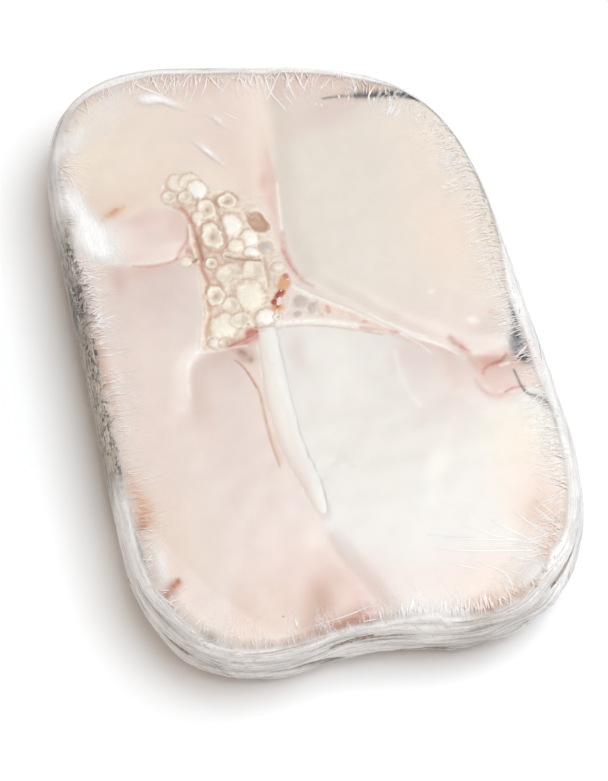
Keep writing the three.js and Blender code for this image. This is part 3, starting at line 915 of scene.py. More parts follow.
@dataclass(frozen=True)
class FilmFinish(Finish):
    """Clear shrink film: nearly nothing where it is taut, white where it is creased."""

    across: tuple[float, float] = (900.0, 260.0)
    coverage: float = 0.5
    creased: float = 0.7
    tint: tuple[float, float, float, float] = (0.98, 0.967, 0.958, 1.0)
    shade: tuple[float, float, float, float] = (0.27, 0.23, 0.21, 1.0)

    def build(self, effects: Effects) -> Material:
        """The finished material."""
        material, nodes, shader = self.start()
        veil = nodes.add("ShaderNodeVertexColor", layer_name="veil").outputs["Color"]
        parts = nodes.add("ShaderNodeSeparateColor", {0: veil})
        where = nodes.add("ShaderNodeUVMap", uv_map="wrap").outputs["UV"]
        wide, fine = self.across
        given = {"Vector": nodes.stretched(where, (wide, fine, 1)), "Coverage": self.coverage}
        crinkle = nodes.add("ShaderNodeGroup", given, node_tree=effects.crinkle)
        given = {"Vector": nodes.stretched(where, (fine, wide, 1), 20), "Coverage": self.coverage}
        second = nodes.add("ShaderNodeGroup", given, node_tree=effects.crinkle)
        radial = nodes.math("MULTIPLY", crinkle.outputs["Mask"], parts.outputs["Green"])
        creases = nodes.math("MULTIPLY", radial, self.creased)
        streaks = nodes.steps(nodes.noise(nodes.stretched(where, (70, 1300, 1), 3), 1, 3, 0.6), 0.36, 0.64)
        swing = nodes.math("MULTIPLY", nodes.math("SUBTRACT", streaks, 0.5), parts.outputs["Blue"])
        layered = nodes.math("ADD", parts.outputs["Red"], nodes.math("MULTIPLY", swing, 0.4))
        fine = nodes.noise(nodes.stretched(where, (950, 3300, 1), -7), 1, 2, 0.7)
        dark = nodes.math("SUBTRACT", 1.0, nodes.steps(fine, 0.3, 0.43))
        specks = nodes.math("MULTIPLY", nodes.math("MULTIPLY", dark, parts.outputs["Blue"]), 0.55)
        nodes.link(nodes.blend(specks, self.tint, self.shade), shader.inputs["Base Color"])
        alpha = nodes.math("MINIMUM", nodes.math("MAXIMUM", layered, creases), 0.97, clamp=True)
        nodes.link(alpha, shader.inputs["Alpha"])
        height = nodes.math("ADD", crinkle.outputs["Height"], second.outputs["Height"])
        layers = nodes.math("ADD", streaks, fine)
        height = nodes.math("ADD", height, nodes.math("MULTIPLY", layers, parts.outputs["Blue"]))
        nodes.relief(height, 0.5, 0.00012, shader)
        return material


class Finishes:
    """Every finish of the steak, built once."""

    def __init__(self) -> None:
        """Builds the materials."""
        effects = Effects()
        self.flesh = FleshFinish("raw_flesh", 0.42, 0.35, 0.16, 0.2).build(effects)
        self.bone = FleshFinish("cut_bone", 0.5, 0.3, 0.18, 0.1, grain=0.16, relief=0.3).build(effects)
        self.skin = SkinFinish("silver_skin", 0.5, 0.05, gloss=0.2).build(effects)
        self.film = FilmFinish("shrink_film", 0.35, 0.2, 0.3, gloss=0.3).build(effects)
        # The folds' tint holds their painted highlights and painted shade.
        self.pleat_glints = FleshFinish("folded_film_painted_glints", 0.25, grain=0.03).build(effects)


# ---- meshes


def finish_piece(bm: Mesh, name: str, material: Material, smooth: bool = True) -> Piece:
    """Turns a mesh in millimetres into a piece in metres.

    Args:
        bm: the mesh, which is used up.
        name: the piece's name.
        material: its finish.
        smooth: whether its faces are shaded smooth.

    Returns:
        The new object, at the origin.
    """
    bmesh.ops.scale(bm, vec=(METRES,) * 3, verts=bm.verts)
    mesh = bpy.data.meshes.new(name)
    bm.to_mesh(mesh)
    bm.free()
    for face in mesh.polygons:
        face.use_smooth = smooth
    mesh.materials.append(material)
    piece = bpy.data.objects.new(name, mesh)
    bpy.context.scene.collection.objects.link(piece)
    return piece


def paint(piece: Piece, layer: str, colour_at: Callable[[int, Vector], Sequence[float]]) -> None:
    """Writes a colour at each vertex of a piece.

    Args:
        piece: the piece.
        layer: the colour attribute's name.
        colour_at: gives three numbers for a vertex's index and its place in millimetres.
    """
    mesh = piece.data
    attribute = mesh.color_attributes.new(name=layer, type="FLOAT_COLOR", domain="POINT")
    values: list[float] = []
    for vertex in mesh.vertices:
        values.extend(colour_at(vertex.index, vertex.co / METRES))
        values.append(1.0)
    attribute.data.foreach_set("color", values)


def even_plate(
    bm: Mesh,
    low: Vector,
    high: Vector,
    cell: float,
    depth: Callable[[float, float], float],
    snapped: Callable[[float, float], Vector],
) -> None:
    """Fills an area with a flat grid of even cells whose border follows the area's outline.

    Args:
        bm: an empty mesh.
        low: the area's lowest corner.
        high: the area's highest corner.
        cell: the size of a cell.
        depth: how far inside the area a place is, negative outside.
        snapped: the nearest place on the outline.
    """
    columns, rows = math.ceil((high.x - low.x) / cell), math.ceil((high.y - low.y) / cell)
    middle = (low + high) / 2
    bmesh.ops.create_grid(
        bm,
        x_segments=columns,
        y_segments=rows,
        size=0.5,
        matrix=Matrix.Translation((middle.x, middle.y, 0))
        @ Matrix.Diagonal((columns * cell, rows * cell, 1, 1)),
    )
    outside = []
    for face in bm.faces:
        centre = face.calc_center_median()
        if depth(centre.x, centre.y) < 0:
            outside.append(face)
    bmesh.ops.delete(bm, geom=outside, context="FACES")
    while True:
        ragged = {f for f in bm.faces if sum(e.is_boundary for e in f.edges) >= 3}
        for vert in bm.verts:
            if sum(e.is_boundary for e in vert.link_edges) > 2:
                ragged.add(vert.link_faces[0])
        if not ragged:
            break
        bmesh.ops.delete(bm, geom=list(ragged), context="FACES")
    for vert in {v for e in bm.edges if e.is_boundary for v in e.verts}:
        place = snapped(vert.co.x, vert.co.y)
        vert.co.x, vert.co.y = place.x, place.y


def border_loops(bm: Mesh) -> list[list[bmesh.types.BMEdge]]:
    """The open border edges of a mesh, one list for each loop."""
    waiting = {e for e in bm.edges if e.is_boundary}
    loops = []
    while waiting:
        stack = [waiting.pop()]
        loop = [stack[0]]
        while stack:
            for vert in stack.pop().verts:
                for edge in vert.link_edges:
                    if edge in waiting:
                        waiting.discard(edge)
                        stack.append(edge)
                        loop.append(edge)
        loops.append(loop)
    return sorted(loops, key=lambda loop: -sum(edge.calc_length() for edge in loop))


def extruded(bm: Mesh, edges: Sequence[bmesh.types.BMEdge]) -> tuple[list, list]:
    """Pulls a new row out of some edges.

    Args:
        bm: the mesh.
        edges: the open edges to pull from.

    Returns:
        The row's vertices and edges.
    """
    made = bmesh.ops.extrude_edge_only(bm, edges=list(edges))["geom"]
    verts = [g for g in made if isinstance(g, bmesh.types.BMVert)]
    row = set(verts)
    new_edges = [
        g
        for g in made
        if isinstance(g, bmesh.types.BMEdge) and g.verts[0] in row and g.verts[1] in row
    ]
    return verts, new_edges


# ---- the bones


class CellKind(Enum):
    """How a cell of the spongy bone is cut open."""

    DOME = "full of white marrow"
    RING = "a white wall round a brown hollow"
    CLEAR = "a thin wall round clear jelly"
    HOLLOW = "an empty brown hollow"
    VESSEL = "a blood vessel"


@dataclass(frozen=True)
class Cell:
    """One cell of the spongy bone."""

    kind: CellKind
    at: Place
    radii: Place
    turn: float = 0.0
    tone: Tone = Tone.BONE

    @classmethod
    def of(
        cls, kind: str, x: float, y: float, across: float, along: float, turn: float = 0, tone: str = "BONE"
    ) -> "Cell":
        """The cell of one row of a table."""
        return cls(CellKind[kind], (x, y), (across, along), turn, Tone[tone])

    def reach(self, x: float, y: float) -> float:
        """0 in the cell's middle, 1 at its wall, more outside."""
        dx, dy = x - self.at[0], y - self.at[1]
        if abs(dx) > 2.2 * max(self.radii) or abs(dy) > 2.2 * max(self.radii):
            return 9.0
        c, s = math.cos(math.radians(self.turn)), math.sin(math.radians(self.turn))
        across, along = (dx * c + dy * s) / self.radii[0], (dy * c - dx * s) / self.radii[1]
        wobble = 1 + 0.2 * wander(x, y, self.at[0], 1.5, 4) + 0.14 * wander(x, y, self.at[1], 0.7, 3)
        return math.hypot(across, along) * wobble

    def height(self, reach: float) -> float:
        """How far the cell stands above the bone's ground."""
        if self.kind is CellKind.DOME:
            return 0.36 * max(0.0, 1 - reach * reach) ** 0.5 if reach < 1 else 0.0
        if self.kind is CellKind.HOLLOW:
            return -0.45 * ramp(1 - reach, 0, 0.5)
        if self.kind is CellKind.VESSEL:
            return 0.12 * bell(reach, 0.8)
        rise = 0.3 if self.kind is CellKind.RING else 0.18
        return rise * bell(reach - 0.78, 0.26) - 0.2 * bell(reach, 0.4)

    def colour(self, ground: Colour, reach: float) -> Colour:
        """The cell's colour over the ground's."""
        wall = self.tone.paint
        if self.kind is CellKind.DOME:
            body = mixed(ground, wall, ramp(1.08 - reach, 0, 0.24))
            # Painted shade on the dome's slope: yellower towards its edge, with a brown line at its foot that
            # is partly the dark joint and partly painted shade.
            body = mixed(body, Tone.YELLOW.paint, 0.6 * ramp(reach, 0.5, 1.0))
            return mixed(body, Tone.BROWN.paint, 0.5 * bell(reach - 1.08, 0.16))
        if self.kind is CellKind.HOLLOW:
            rim = mixed(ground, Tone.BONE.paint, 0.5 * bell(reach - 1.1, 0.12))
            return mixed(rim, self.tone.paint, ramp(1.05 - reach, 0, 0.25))
        if self.kind is CellKind.VESSEL:
            return mixed(ground, self.tone.paint, ramp(1.15 - reach, 0, 0.6))
        if self.kind is CellKind.RING:
            body = mixed(ground, wall, ramp(1.05 - reach, 0, 0.2))
            body = mixed(body, Tone.BROWN.paint, 0.9 * bell(reach, 0.42))
            return mixed(body, Tone.BROWN.paint, 0.7 * bell(reach - 1.12, 0.17))
        body = mixed(ground, Tone.JELLY.paint, 0.85 * ramp(1 - reach, 0, 0.3))
        body = mixed(body, wall, 0.6 * bell(reach - 0.84, 0.16))
        return mixed(body, Tone.BROWN.paint, 0.5 * bell(reach - 1.06, 0.16))


class CutBone:
    """A bone that runs through the slice, with its cut ends as fine low relief."""

    cell_size = 0.27
    foot = 0.34
    margin = 1.5
    mottle = 0.7
    lap = 0.3

    def __init__(
        self,
        name: str,
        node: str,
        slot: str,
        outline: Sequence[Vector],
        ground: Tone,
        cells: Sequence[tuple],
        strands: Sequence[tuple],
        blushes: Sequence[tuple] = (),
    ) -> None:
        """Takes the bone's outline, its ground tone and what shows in its cut."""
        self.name, self.node, self.slot = name, node, slot
        self.loop, self.edge = Loop(outline), Loop(grown(outline, self.lap))
        self.ground = ground
        self.cells = [Cell.of(*row) for row in cells]
        self.blushes = [Blush.of(*row) for row in blushes]
        lines = [Strand.of(*row) for row in strands]
        self.strands = [(line, Trace(smooth_line(line.through, step=0.12))) for line in lines]

    def let_in(self, steak: Steak, tones: FleshTones) -> "CutBone":
        """Sets the bone in its flesh, which it is level with and takes its margin's tone from."""
        self.steak, self.tones = steak, tones
        return self

    def swell(self, x: float, y: float) -> float:
        """How far the cut end stands off the flesh's own level: nothing at the bone's edge."""
        depth = self.loop.depth(x, y)
        return (self.relief(x, y) - 0.1) * ramp(depth, 0.0, 0.9) - 0.05 * ramp(-depth, 0, 0.2)

    def relief(self, x: float, y: float) -> float:
        """The cut face's height over its ground at a place."""
        height = 0.07 * wander(x, y, 0, 1.1, 2) + 0.04 * wander(x, y, 0, 0.45, 9)
        for cell in self.cells:
            reach = cell.reach(x, y)
            if reach < 1.6:
                rise = cell.height(reach)
                height = max(height, rise) if rise > 0 else height + rise
        for strand, line in self.strands:
            height += strand.relief * bell(line.distance(x, y), strand.width)
        return min(height, 0.38)

    def colour(self, x: float, y: float) -> Colour:
        """The cut face's colour at a place."""
        colour = self.ground.paint
        for blush in self.blushes:
            weight = blush.weight(x, y)
            if weight > 0.01:
                colour = mixed(colour, blush.tone.paint, min(1.0, weight))
        patchy = 0.5 + 0.5 * wander(x, y, 3, 1.7, 6)
        colour = mixed(colour, Tone.BROWN.paint, self.mottle * patchy * patchy)
        colour = mixed(colour, Tone.BONE.paint, 0.5 * self.mottle * (1 + wander(x, y, 8, 1.1, 8)))
        margin = ramp(self.loop.depth(x, y) + 0.5 * wander(x, y, 5, 2, 1), 0.1, self.margin)
        colour = mixed(self.tones.at(x, y), colour, margin)
        for cell in self.cells:
            reach = cell.reach(x, y)
            if reach < 1.6:
                colour = cell.colour(colour, reach)
        for strand, line in self.strands:
            share = strand.strength * bell(line.distance(x, y), strand.width)
            if share > 0.01:
                colour = mixed(colour, strand.tone.paint, share)
        mottle = 1 + 0.07 * wander(x, y, 0, 0.7, 11) + 0.05 * wander(x, y, 0, 0.4, 5)
        return tuple(channel * mottle for channel in colour)

    def build(self, material: Material) -> Piece:
        """Makes the bone's mesh and paints it."""
        bm = bmesh.new()
        spare = Vector((0.6, 0.6))
        even_plate(
            bm,
            self.edge.low - spare,
            self.edge.high + spare,
            self.cell_size,
            self.edge.depth,
            lambda x, y: self.edge.points[self.edge.nearest(x, y)[0]],
        )
        edges = border_loops(bm)[0]
        for edge in edges:
            edge.smooth = False
        top = list(bm.verts)
        copied = bmesh.ops.duplicate(bm, geom=bm.faces[:])["geom"]
        for vert in top:
            x, y = vert.co.x, vert.co.y
            vert.co.z = self.steak.face(x, y) + Flesh.stand + Flesh.lumps(x, y) + self.swell(x, y)
        for vert in (g for g in copied if isinstance(g, bmesh.types.BMVert)):
            vert.co.z = self.foot - 0.5 * self.swell(vert.co.x, vert.co.y)
        bmesh.ops.reverse_faces(bm, faces=[g for g in copied if isinstance(g, bmesh.types.BMFace)])
        for height in (THICKNESS - 3, HALF, 2.0, self.foot):
            verts, edges = extruded(bm, edges)
            for vert in verts:
                vert.co.z = height
        bmesh.ops.remove_doubles(bm, verts=bm.verts, dist=0.002)
        bmesh.ops.recalc_face_normals(bm, faces=bm.faces)
        piece = finish_piece(bm, self.name, material)
        paint(piece, "tint", lambda _, co: self.colour(co.x, co.y))
        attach(piece, "root")
        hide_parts(self.node)
        return piece


VERTEBRA_OUTLINE = (
    (-20, 43.4), (-15.5, 42.8), (-12.2, 37.6), (-7.6, 36.2), (-3, 31), (-1.6, 26), (-1.9, 19.5), (-0.6, 13),
    (-3.2, 6), (-8.4, 2.4), (-19.5, -0.4), (-23.6, 1.2), (-21.6, 8), (-20, 14), (-19.8, 19.4),
    (-23, 22), (-20.2, 26), (-19.6, 30), (-21, 34.4), (-23.8, 37.6), (-23, 41),
)

# kind, x and y, radii, turn, tone
VERTEBRA_CELLS = (
    ("DOME", -19.4, 41.2, 2.3, 1.9, 20), ("DOME", -16.7, 40.6, 2, 2),
    ("DOME", -15.4, 38.1, 2.2, 2.3, 10, "WHITE"), ("CLEAR", -21.8, 38, 1.5, 1.5),
    ("CLEAR", -18.6, 37.2, 1.6, 1.4), ("RING", -14.6, 33, 2.1, 2.4), ("DOME", -16.9, 31.4, 1.4, 1.7),
    ("RING", -9.8, 34, 2.2, 1.9), ("DOME", -10.4, 28, 2.5, 2.9, 0, "WHITE"),
    ("DOME", -7.3, 24, 2.2, 2.1, 0, "WHITE"), ("DOME", -10.5, 23, 1.8, 1.6),
    ("DOME", -7.5, 20.6, 1.8, 1.2, -12, "WHITE"), ("RING", -14.9, 26.4, 2.3, 3.3, 8),
    ("HOLLOW", -4.6, 27.6, 2.1, 3.2, 28, "BROWN"), ("DOME", -4.2, 21, 1.4, 1.5, 0, "GREY"),
    ("DOME", -2.7, 16, 1.5, 1.2, 0, "CREAM"), ("DOME", -21.9, 22, 1.4, 1.2, 0, "BONE"),
    ("RING", -16.5, 20.2, 1.3, 1.3), ("CLEAR", -12.7, 21.2, 1.3, 0.9),
    ("CLEAR", -13.4, 16.6, 3, 2.9, 0, "CREAM"), ("CLEAR", -8.2, 16, 2.5, 3),
    ("DOME", -8.6, 13.6, 1.6, 1.4, 0, "CREAM"), ("DOME", -11.9, 13.4, 2, 1.7, 0, "BONE"),
    ("DOME", -10.4, 10.4, 3.3, 3.6, 10), ("RING", -17.5, 12.4, 2.1, 2.3), ("CLEAR", -14.7, 9.4, 1.9, 2.1),
    ("DOME", -17.4, 5, 3.5, 3, 20), ("CLEAR", -13.5, 5.6, 2.2, 1.9),
    ("DOME", -20.4, 1.8, 1.2, 1.2, 0, "CREAM"), ("CLEAR", -18, 1.4, 1.3, 0.9),
    # The white dome at -8.2, 4.9 is white marrow whose brightest white is a painted glare.
    ("DOME", -8.2, 4.9, 2.4, 2.1, 0, "WHITE"), ("RING", -5.6, 4.4, 0.9, 0.8),
    ("VESSEL", -5.2, 6.6, 1.4, 1.3, 0, "ORANGE"), ("VESSEL", -5.1, 6.7, 0.5, 0.5, 0, "RUST"),
    ("VESSEL", -2.5, 11.8, 1.5, 2.8, -28, "ORANGE"), ("VESSEL", -3.9, 9.5, 1.7, 0.9, 30, "DEEP_RED"),
    ("VESSEL", -5.5, 8, 0.8, 0.9, 0, "DEEP_RED"), ("VESSEL", -1.6, 13.4, 0.8, 0.9, 0, "RED"),
    ("VESSEL", -11.6, 1.8, 2.4, 1.2, -24, "RED"),
)

# tone, width, strength and relief, then x and y in turn
VERTEBRA_STRANDS = (
    ("BONE", (0.32, 0.85, 0.2), -19.1, 30.4, -19.7, 27.1, -19.6, 24, -19.2, 21.4),
    ("RED", (0.42, 0.8, -0.15), -20, 35, -18.9, 33, -18.3, 28.9, -18.5, 25.3, -18.3, 22.4, -18.8, 19.6,
        -18.2, 15.8),
    ("UMBER", (0.34, 0.6, -0.1), -18.2, 27, -18.1, 24, -18, 21.4),
    ("UMBER", (0.3, 0.75, -0.2), -13.2, 21.2, -11.9, 20.4, -9.5, 19.4, -5.9, 18.3),
    ("BROWN", (0.4, 0.7, -0.15), -16.4, 24.2, -14, 22.8, -12.2, 24.6, -12.3, 31, -12.6, 35.4),
    ("RED", (1.1, 0.95, 0.08), -16.7, 0.2, -14.1, 0.4, -12, 1.1, -9.9, 2),
    ("DEEP_RED", (0.4, 0.5, 0.05), -13, 0.9, -10.4, 2),
    ("YELLOW", (0.26, 0.85, 0.12), -19.4, 18, -19.8, 14.1, -20, 11.3, -20.3, 8.6, -22, 5.4, -23, 2),
    ("ORANGE", (0.3, 0.6, -0.1), -19, 15, -19.4, 11, -19.8, 8, -21.2, 5.4, -22, 2),
    ("BROWN", (0.34, 0.6, -0.1), -5.2, 19, -5.3, 15, -5.9, 12),
    ("BONE", (0.2, 0.6, 0.1), -5.8, 18.4, -6, 15, -6.4, 12),
    ("RED", (0.7, 0.7, 0), -21.6, 25.4, -20.6, 24.4), ("UMBER", (0.34, 0.85, 0), -20.2, 21.6, -19.2, 21.9),
    ("DEEP_RED", (0.22, 0.8, 0), -12.3, 4.3, -12.1, 4.1), ("DEEP_RED", (0.2, 0.7, 0), -10.9, 3.2, -10.7, 3),
)

VERTEBRA_BLUSHES = (
    ("BROWN", -12.6, 36.8, 2.2, 3, 0.5, 20), ("BROWN", -20, 36.4, 3, 1.6, 0.5), ("ROSE", -9, 37, 3, 2, 0.8),
    ("ROSE", -6, 33, 3, 2.6, 0.7, 30), ("PINK", -3.4, 31, 2, 3, 0.8, 20), ("MAUVE", -2.4, 23, 1.6, 6, 0.9),
    ("PINK", -1.4, 17, 1.4, 4, 0.9), ("RED", -18.6, 24, 1.4, 6, 0.45), ("BROWN", -12, 30, 1, 4, 0.6),
    ("BROWN", -14.6, 20.6, 3, 1.6, 0.6), ("UMBER", -20.2, 23, 1.5, 1.4, 0.5),
    ("ORANGE", -19.6, 8.4, 1.4, 6, 0.45, 8), ("GREY", -4, 14, 2, 3.4, 0.5),
    ("MAUVE", -11.6, 3.6, 2.8, 2.4, 0.95), ("PEACH", -16, 1, 5, 1.2, 0.8),
)

WING_CELLS = (
    ("VESSEL", -0.1, 6.8, 1.9, 1.8, 0, "GREY"), ("VESSEL", -1.4, 4, 1.1, 0.9, 0, "GREY"),
    ("VESSEL", 2, 4.6, 1.1, 1.7, -20, "GREY"), ("VESSEL", 5.6, 3.5, 2.1, 1.5, -20, "PEACH"),
    ("VESSEL", 8.4, 2, 1.4, 1.2, -30, "PEACH"), ("VESSEL", 10.6, 0.7, 2, 1.2, -40, "PINK"),
    ("VESSEL", 12.2, -1.1, 0.8, 0.6, -20, "RED"), ("VESSEL", 14.4, -2.4, 2, 0.8, -40, "PINK"),
    ("VESSEL", 5.2, 3.5, 0.7, 1.2, 0, "RED"),
)

WING_STRANDS = (
    ("WHITE", (0.7, 0.75, 0.15), -0.7, 10.7, 0.6, 9.5, 2.4, 7.9, 6.1, 5.1, 9.9, 2.3, 13.7, -0.9, 18.6,
        -4.8),
    ("WHITE", (0.7, 0.75, 0.15), -5.8, 3.1, -1.9, 2.5, 3.7, 1.2, 8, -0.5, 11.7, -2.1, 16, -4),
    ("RED", (0.5, 0.6, 0), 11, -2.3, 13.6, -3.2, 15.4, -3.8, 18.4, -5),
    ("BROWN", (0.3, 0.4, 0), 3.4, 6.2, 3.2, 3.8, 3.6, 2.4),
    ("PEACH", (1, 0.6, 0), 4, 4.4, 8, 2, 12, -1, 16, -4),
)

def wing_outline() -> list[Vector]:
    """The wing bone's outline: two low arcs from the vertebra to a point."""
    return smooth_line(
        ((-2, 12.6), (0.4, 10.3), (3.4, 7.6), (7, 4.9), (11, 1.8), (15.4, -2), (19.4, -5.6), (22.3, -8),
         (18.6, -6.1), (14.2, -4.4), (8.7, -1.9), (3.7, 0.2), (-1.4, 1.5), (-6.4, 2), (-5.6, 6)),
        closed=True,
    )


class Spine:
    """The long spine: half a rod that lies in the cut and fades out towards the belly."""

    path = ((-8.6, 2.6), (-9.6, -8), (-10, -18), (-9.6, -26), (-8, -34), (-6.6, -44), (-5, -54))
    widths = (4.8, 6.0, 2.6)
    sink = (3.6, 1.0)
    stations = 96
    sides = 10

    def __init__(self, steak: Steak, tones: FleshTones) -> None:
        """Takes the face that it lies in and the flesh that it fades into."""
        self.steak, self.tones = steak, tones
        self.line = Trace(smooth_line(self.path, step=0.2))

    def half_width(self, share: float) -> float:
        """Half the spine's width that far along, widest a third of the way down."""
        start, middle, end = self.widths
        if share < 0.4:
            return between(start, middle, ramp(share, 0, 0.4)) / 2
        return between(middle, end, ramp(share, 0.3, 1.0)) / 2

    def build(self, material: Material) -> Piece:
        """Makes the rod: a small ring that is drawn along its path."""
        bm = bmesh.new()
        order = bm.verts.layers.int.new("order")
        ring = bmesh.ops.create_circle(bm, segments=2 * self.sides, radius=1, cap_ends=True)["verts"]
        for i, vert in enumerate(ring):
            vert[order] = i
        self._place(ring, order, 0.0)
        edges = [e for e in bm.edges]
        for station in range(1, self.stations + 1):
            verts, edges = extruded(bm, edges)
            self._place(verts, order, station / self.stations)
        bmesh.ops.edgeloop_fill(bm, edges=edges)
        bmesh.ops.recalc_face_normals(bm, faces=bm.faces)
        piece = finish_piece(bm, "spine_bone_dressed", material)
        paint(piece, "tint", lambda _, co: self.colour(co.x, co.y))
        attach(piece, "root")
        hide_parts("spine_bone")
        return piece

    def _place(self, verts: Sequence[bmesh.types.BMVert], order: object, share: float) -> None:
        """Sets one ring of the rod across the path."""
        points = self.line.points
        index = round(share * (len(points) - 1))
        middle = points[index]
        heading = (points[min(index + 1, len(points) - 1)] - points[max(index - 1, 0)]).normalized()
        across = Vector((heading.y, -heading.x))
        half, sink = self.half_width(share), between(*self.sink, share)
        for vert in verts:
            angle = 2 * math.pi * vert[order] / (2 * self.sides)
            side, up = math.sin(angle), math.cos(angle)
            place = middle + across * half * side
            top = self.steak.face(place.x, place.y) + Flesh.stand
            lift = 0.16 * up * up - 0.05 if up > 0 else sink * up - 0.05
            sunk = 0.35 * ramp(share, 0.66, 0.86)
            vert.co = (place.x, place.y, top + lift * (1 - 0.8 * ramp(share, 0.6, 0.9)) - sunk)

    def colour(self, x: float, y: float) -> Colour:
        """White bone with pinkish edges that fades to the flesh's own tone."""
        index, distance = self.line.nearest(x, y)
        share = index / (len(self.line.points) - 1)
        across = distance / self.half_width(share)
        point = self.line.points[index]
        left = x < point.x
        body = mixed(Tone.WHITE.paint, Tone.MILK.paint, 0.55 + 0.4 * wander(x, y / 6, 0, 1.4, 3))
        flesh = self.tones.at(x, y)
        if left:
            body = mixed(body, flesh, ramp(across, 0.1 + 0.5 * ramp(share, 0.5, 0), 1.0))
        else:
            body = mixed(body, flesh, 0.85 * ramp(across, 0.5, 0.84))
        return mixed(body, flesh, max(0.15 + 0.85 * ramp(share, 0.3, 0.76), 0.8 * ramp(share, 0.05, 0)))


# ---- flesh and skin


class Flesh:
    """The block of flesh: two cut faces and the side under the skin."""

    cell = 0.6
    under_cell = 1.4
    rows = 28
    stand = -0.3

    def __init__(self, steak: Steak, tones: FleshTones, holes: Sequence[Loop], groove: Spine) -> None:
        """Takes the slice's form and what is let into it."""
        self.steak, self.tones, self.holes, self.groove = steak, tones, holes, groove
        inset = steak.form.rim_inset
        self.top_ring = [p - n * inset for p, n in zip(steak.rim, steak.normals)]
        foot = steak.form.foot_inset
        self.foot_ring = [p - n * foot for p, n in zip(steak.rim, steak.normals)]

    def build(self, material: Material) -> Piece:
        """Makes the block and paints it."""
        bm = bmesh.new()
        index_layer = bm.verts.layers.int.new("rim")
        ring = Trace(self.top_ring)
        inset = self.steak.form.rim_inset
        self._plate(bm, ring, inset, self.cell)
        for reach in (1.5, 0.45):
            self._refine(bm, reach)
        for vert in bm.verts:
            x, y = vert.co.x, vert.co.y
            vert.co.z = self.level(x, y) - 0.02 - self._groove(x, y)
        borders = border_loops(bm)
        for edge in borders[0]:
            for vert in edge.verts:
                vert.co.z = self.steak.face(vert.co.x, vert.co.y) + self.stand
                vert[index_layer] = ring.nearest(vert.co.x, vert.co.y)[0]
        for edges in borders[1:]:
            for edge in edges:
                edge.smooth = False
            for height in (HALF, -self.stand):
                verts, edges = extruded(bm, edges)
                for vert in verts:
                    vert.co.z = height
        edges = borders[0]
        for row in range(1, self.rows + 1):
            verts, edges = extruded(bm, edges)
            for vert in verts:
                vert.co = self.steak.side(vert[index_layer], (row / self.rows) ** 1.7, self.stand)
        under = bmesh.new()
        self._plate(under, Trace(self.foot_ring), self.steak.form.foot_inset, self.under_cell)
        for vert in under.verts:
            vert.co.z = -self.stand
        bmesh.ops.reverse_faces(under, faces=under.faces)
        mesh = bpy.data.meshes.new("under")
        under.to_mesh(mesh)
        under.free()
        bm.from_mesh(mesh)
        bpy.data.meshes.remove(mesh)
        self._join_loops(bm)
        bmesh.ops.recalc_face_normals(bm, faces=bm.faces)
        piece = finish_piece(bm, "flesh_block", material)
        paint(piece, "tint", lambda _, co: self.tones.at(co.x, co.y, co.z))
        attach(piece, "root")
        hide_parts("wrapped_steak")
        return piece

    def _plate(self, bm: Mesh, ring: Trace, inset: float, cell: float) -> None:
        """Fills one cut face with even cells, with the bones' holes left open."""

        def depth(x: float, y: float) -> float:
            """How far inside the flesh a place is."""
            inside = self.steak.inset(x, y) - inset
            return min([inside] + [-hole.depth(x, y) for hole in self.holes if inside > 0])

        def snapped(x: float, y: float) -> Vector:
            """The nearest place on the face's own border or on a hole's."""
            choices = [(ring.distance(x, y), ring)]
            for hole in self.holes:
                others = [h for h in self.holes if h is not hole]
                point = hole.points[hole.nearest(x, y)[0]]
                if not any(h.holds(point.x, point.y) for h in others):
                    choices.append((hole.distance(x, y), hole))
            line = min(choices, key=lambda choice: choice[0])[1]
            return line.points[line.nearest(x, y)[0]]

        low = Vector((min(p.x for p in ring.points), min(p.y for p in ring.points)))
        high = Vector((max(p.x for p in ring.points), max(p.y for p in ring.points)))
        even_plate(bm, low, high, cell, depth, snapped)

    def _refine(self, bm: Mesh, reach: float) -> None:
        """Halves the cells that are near one of the cut's thin lines."""
        edges = set()
        for face in bm.faces:
            centre = face.calc_center_median()
            if self.tones.all_lines.distance(centre.x, centre.y) < reach:
                edges.update(face.edges)
        bmesh.ops.subdivide_edges(bm, edges=list(edges), cuts=1, use_grid_fill=True)

    @staticmethod
    def lumps(x: float, y: float) -> float:
        """The low swells of the sawn face."""
        return 0.05 * wander(x, y, 0, 5, 4)

    def level(self, x: float, y: float) -> float:
        """The height of the sawn face at a place, with its own low relief."""
        return self.steak.face(x, y) + self.stand + self.lumps(x, y) + 0.02

    def _groove(self, x: float, y: float) -> float:
        """How deep the groove under the spine is at a place."""
        index, distance = self.groove.line.nearest(x, y)
        share = index / (len(self.groove.line.points) - 1)
        half = self.groove.half_width(share)
        return 0.9 * ramp(0.78 * half - distance, 0, 0.7) * (1 - ramp(share, 0.66, 0.82))

    @staticmethod
    def _join_loops(bm: Mesh) -> None:
        """Joins each open loop of the walls to the nearest open loop of the underside."""
        loops = border_loops(bm)
        middles = []
        for loop in loops:
            verts = {v for e in loop for v in e.verts}
            low = min(v.co.z for v in verts)
            spread = max(v.co.x for v in verts) - min(v.co.x for v in verts)
            middles.append((spread, low, loop))
        middles.sort(key=lambda item: -item[0])
        while len(middles) >= 2:
            first = middles.pop(0)
            second = middles.pop(0)
            bmesh.ops.bridge_loops(bm, edges=first[2] + second[2])


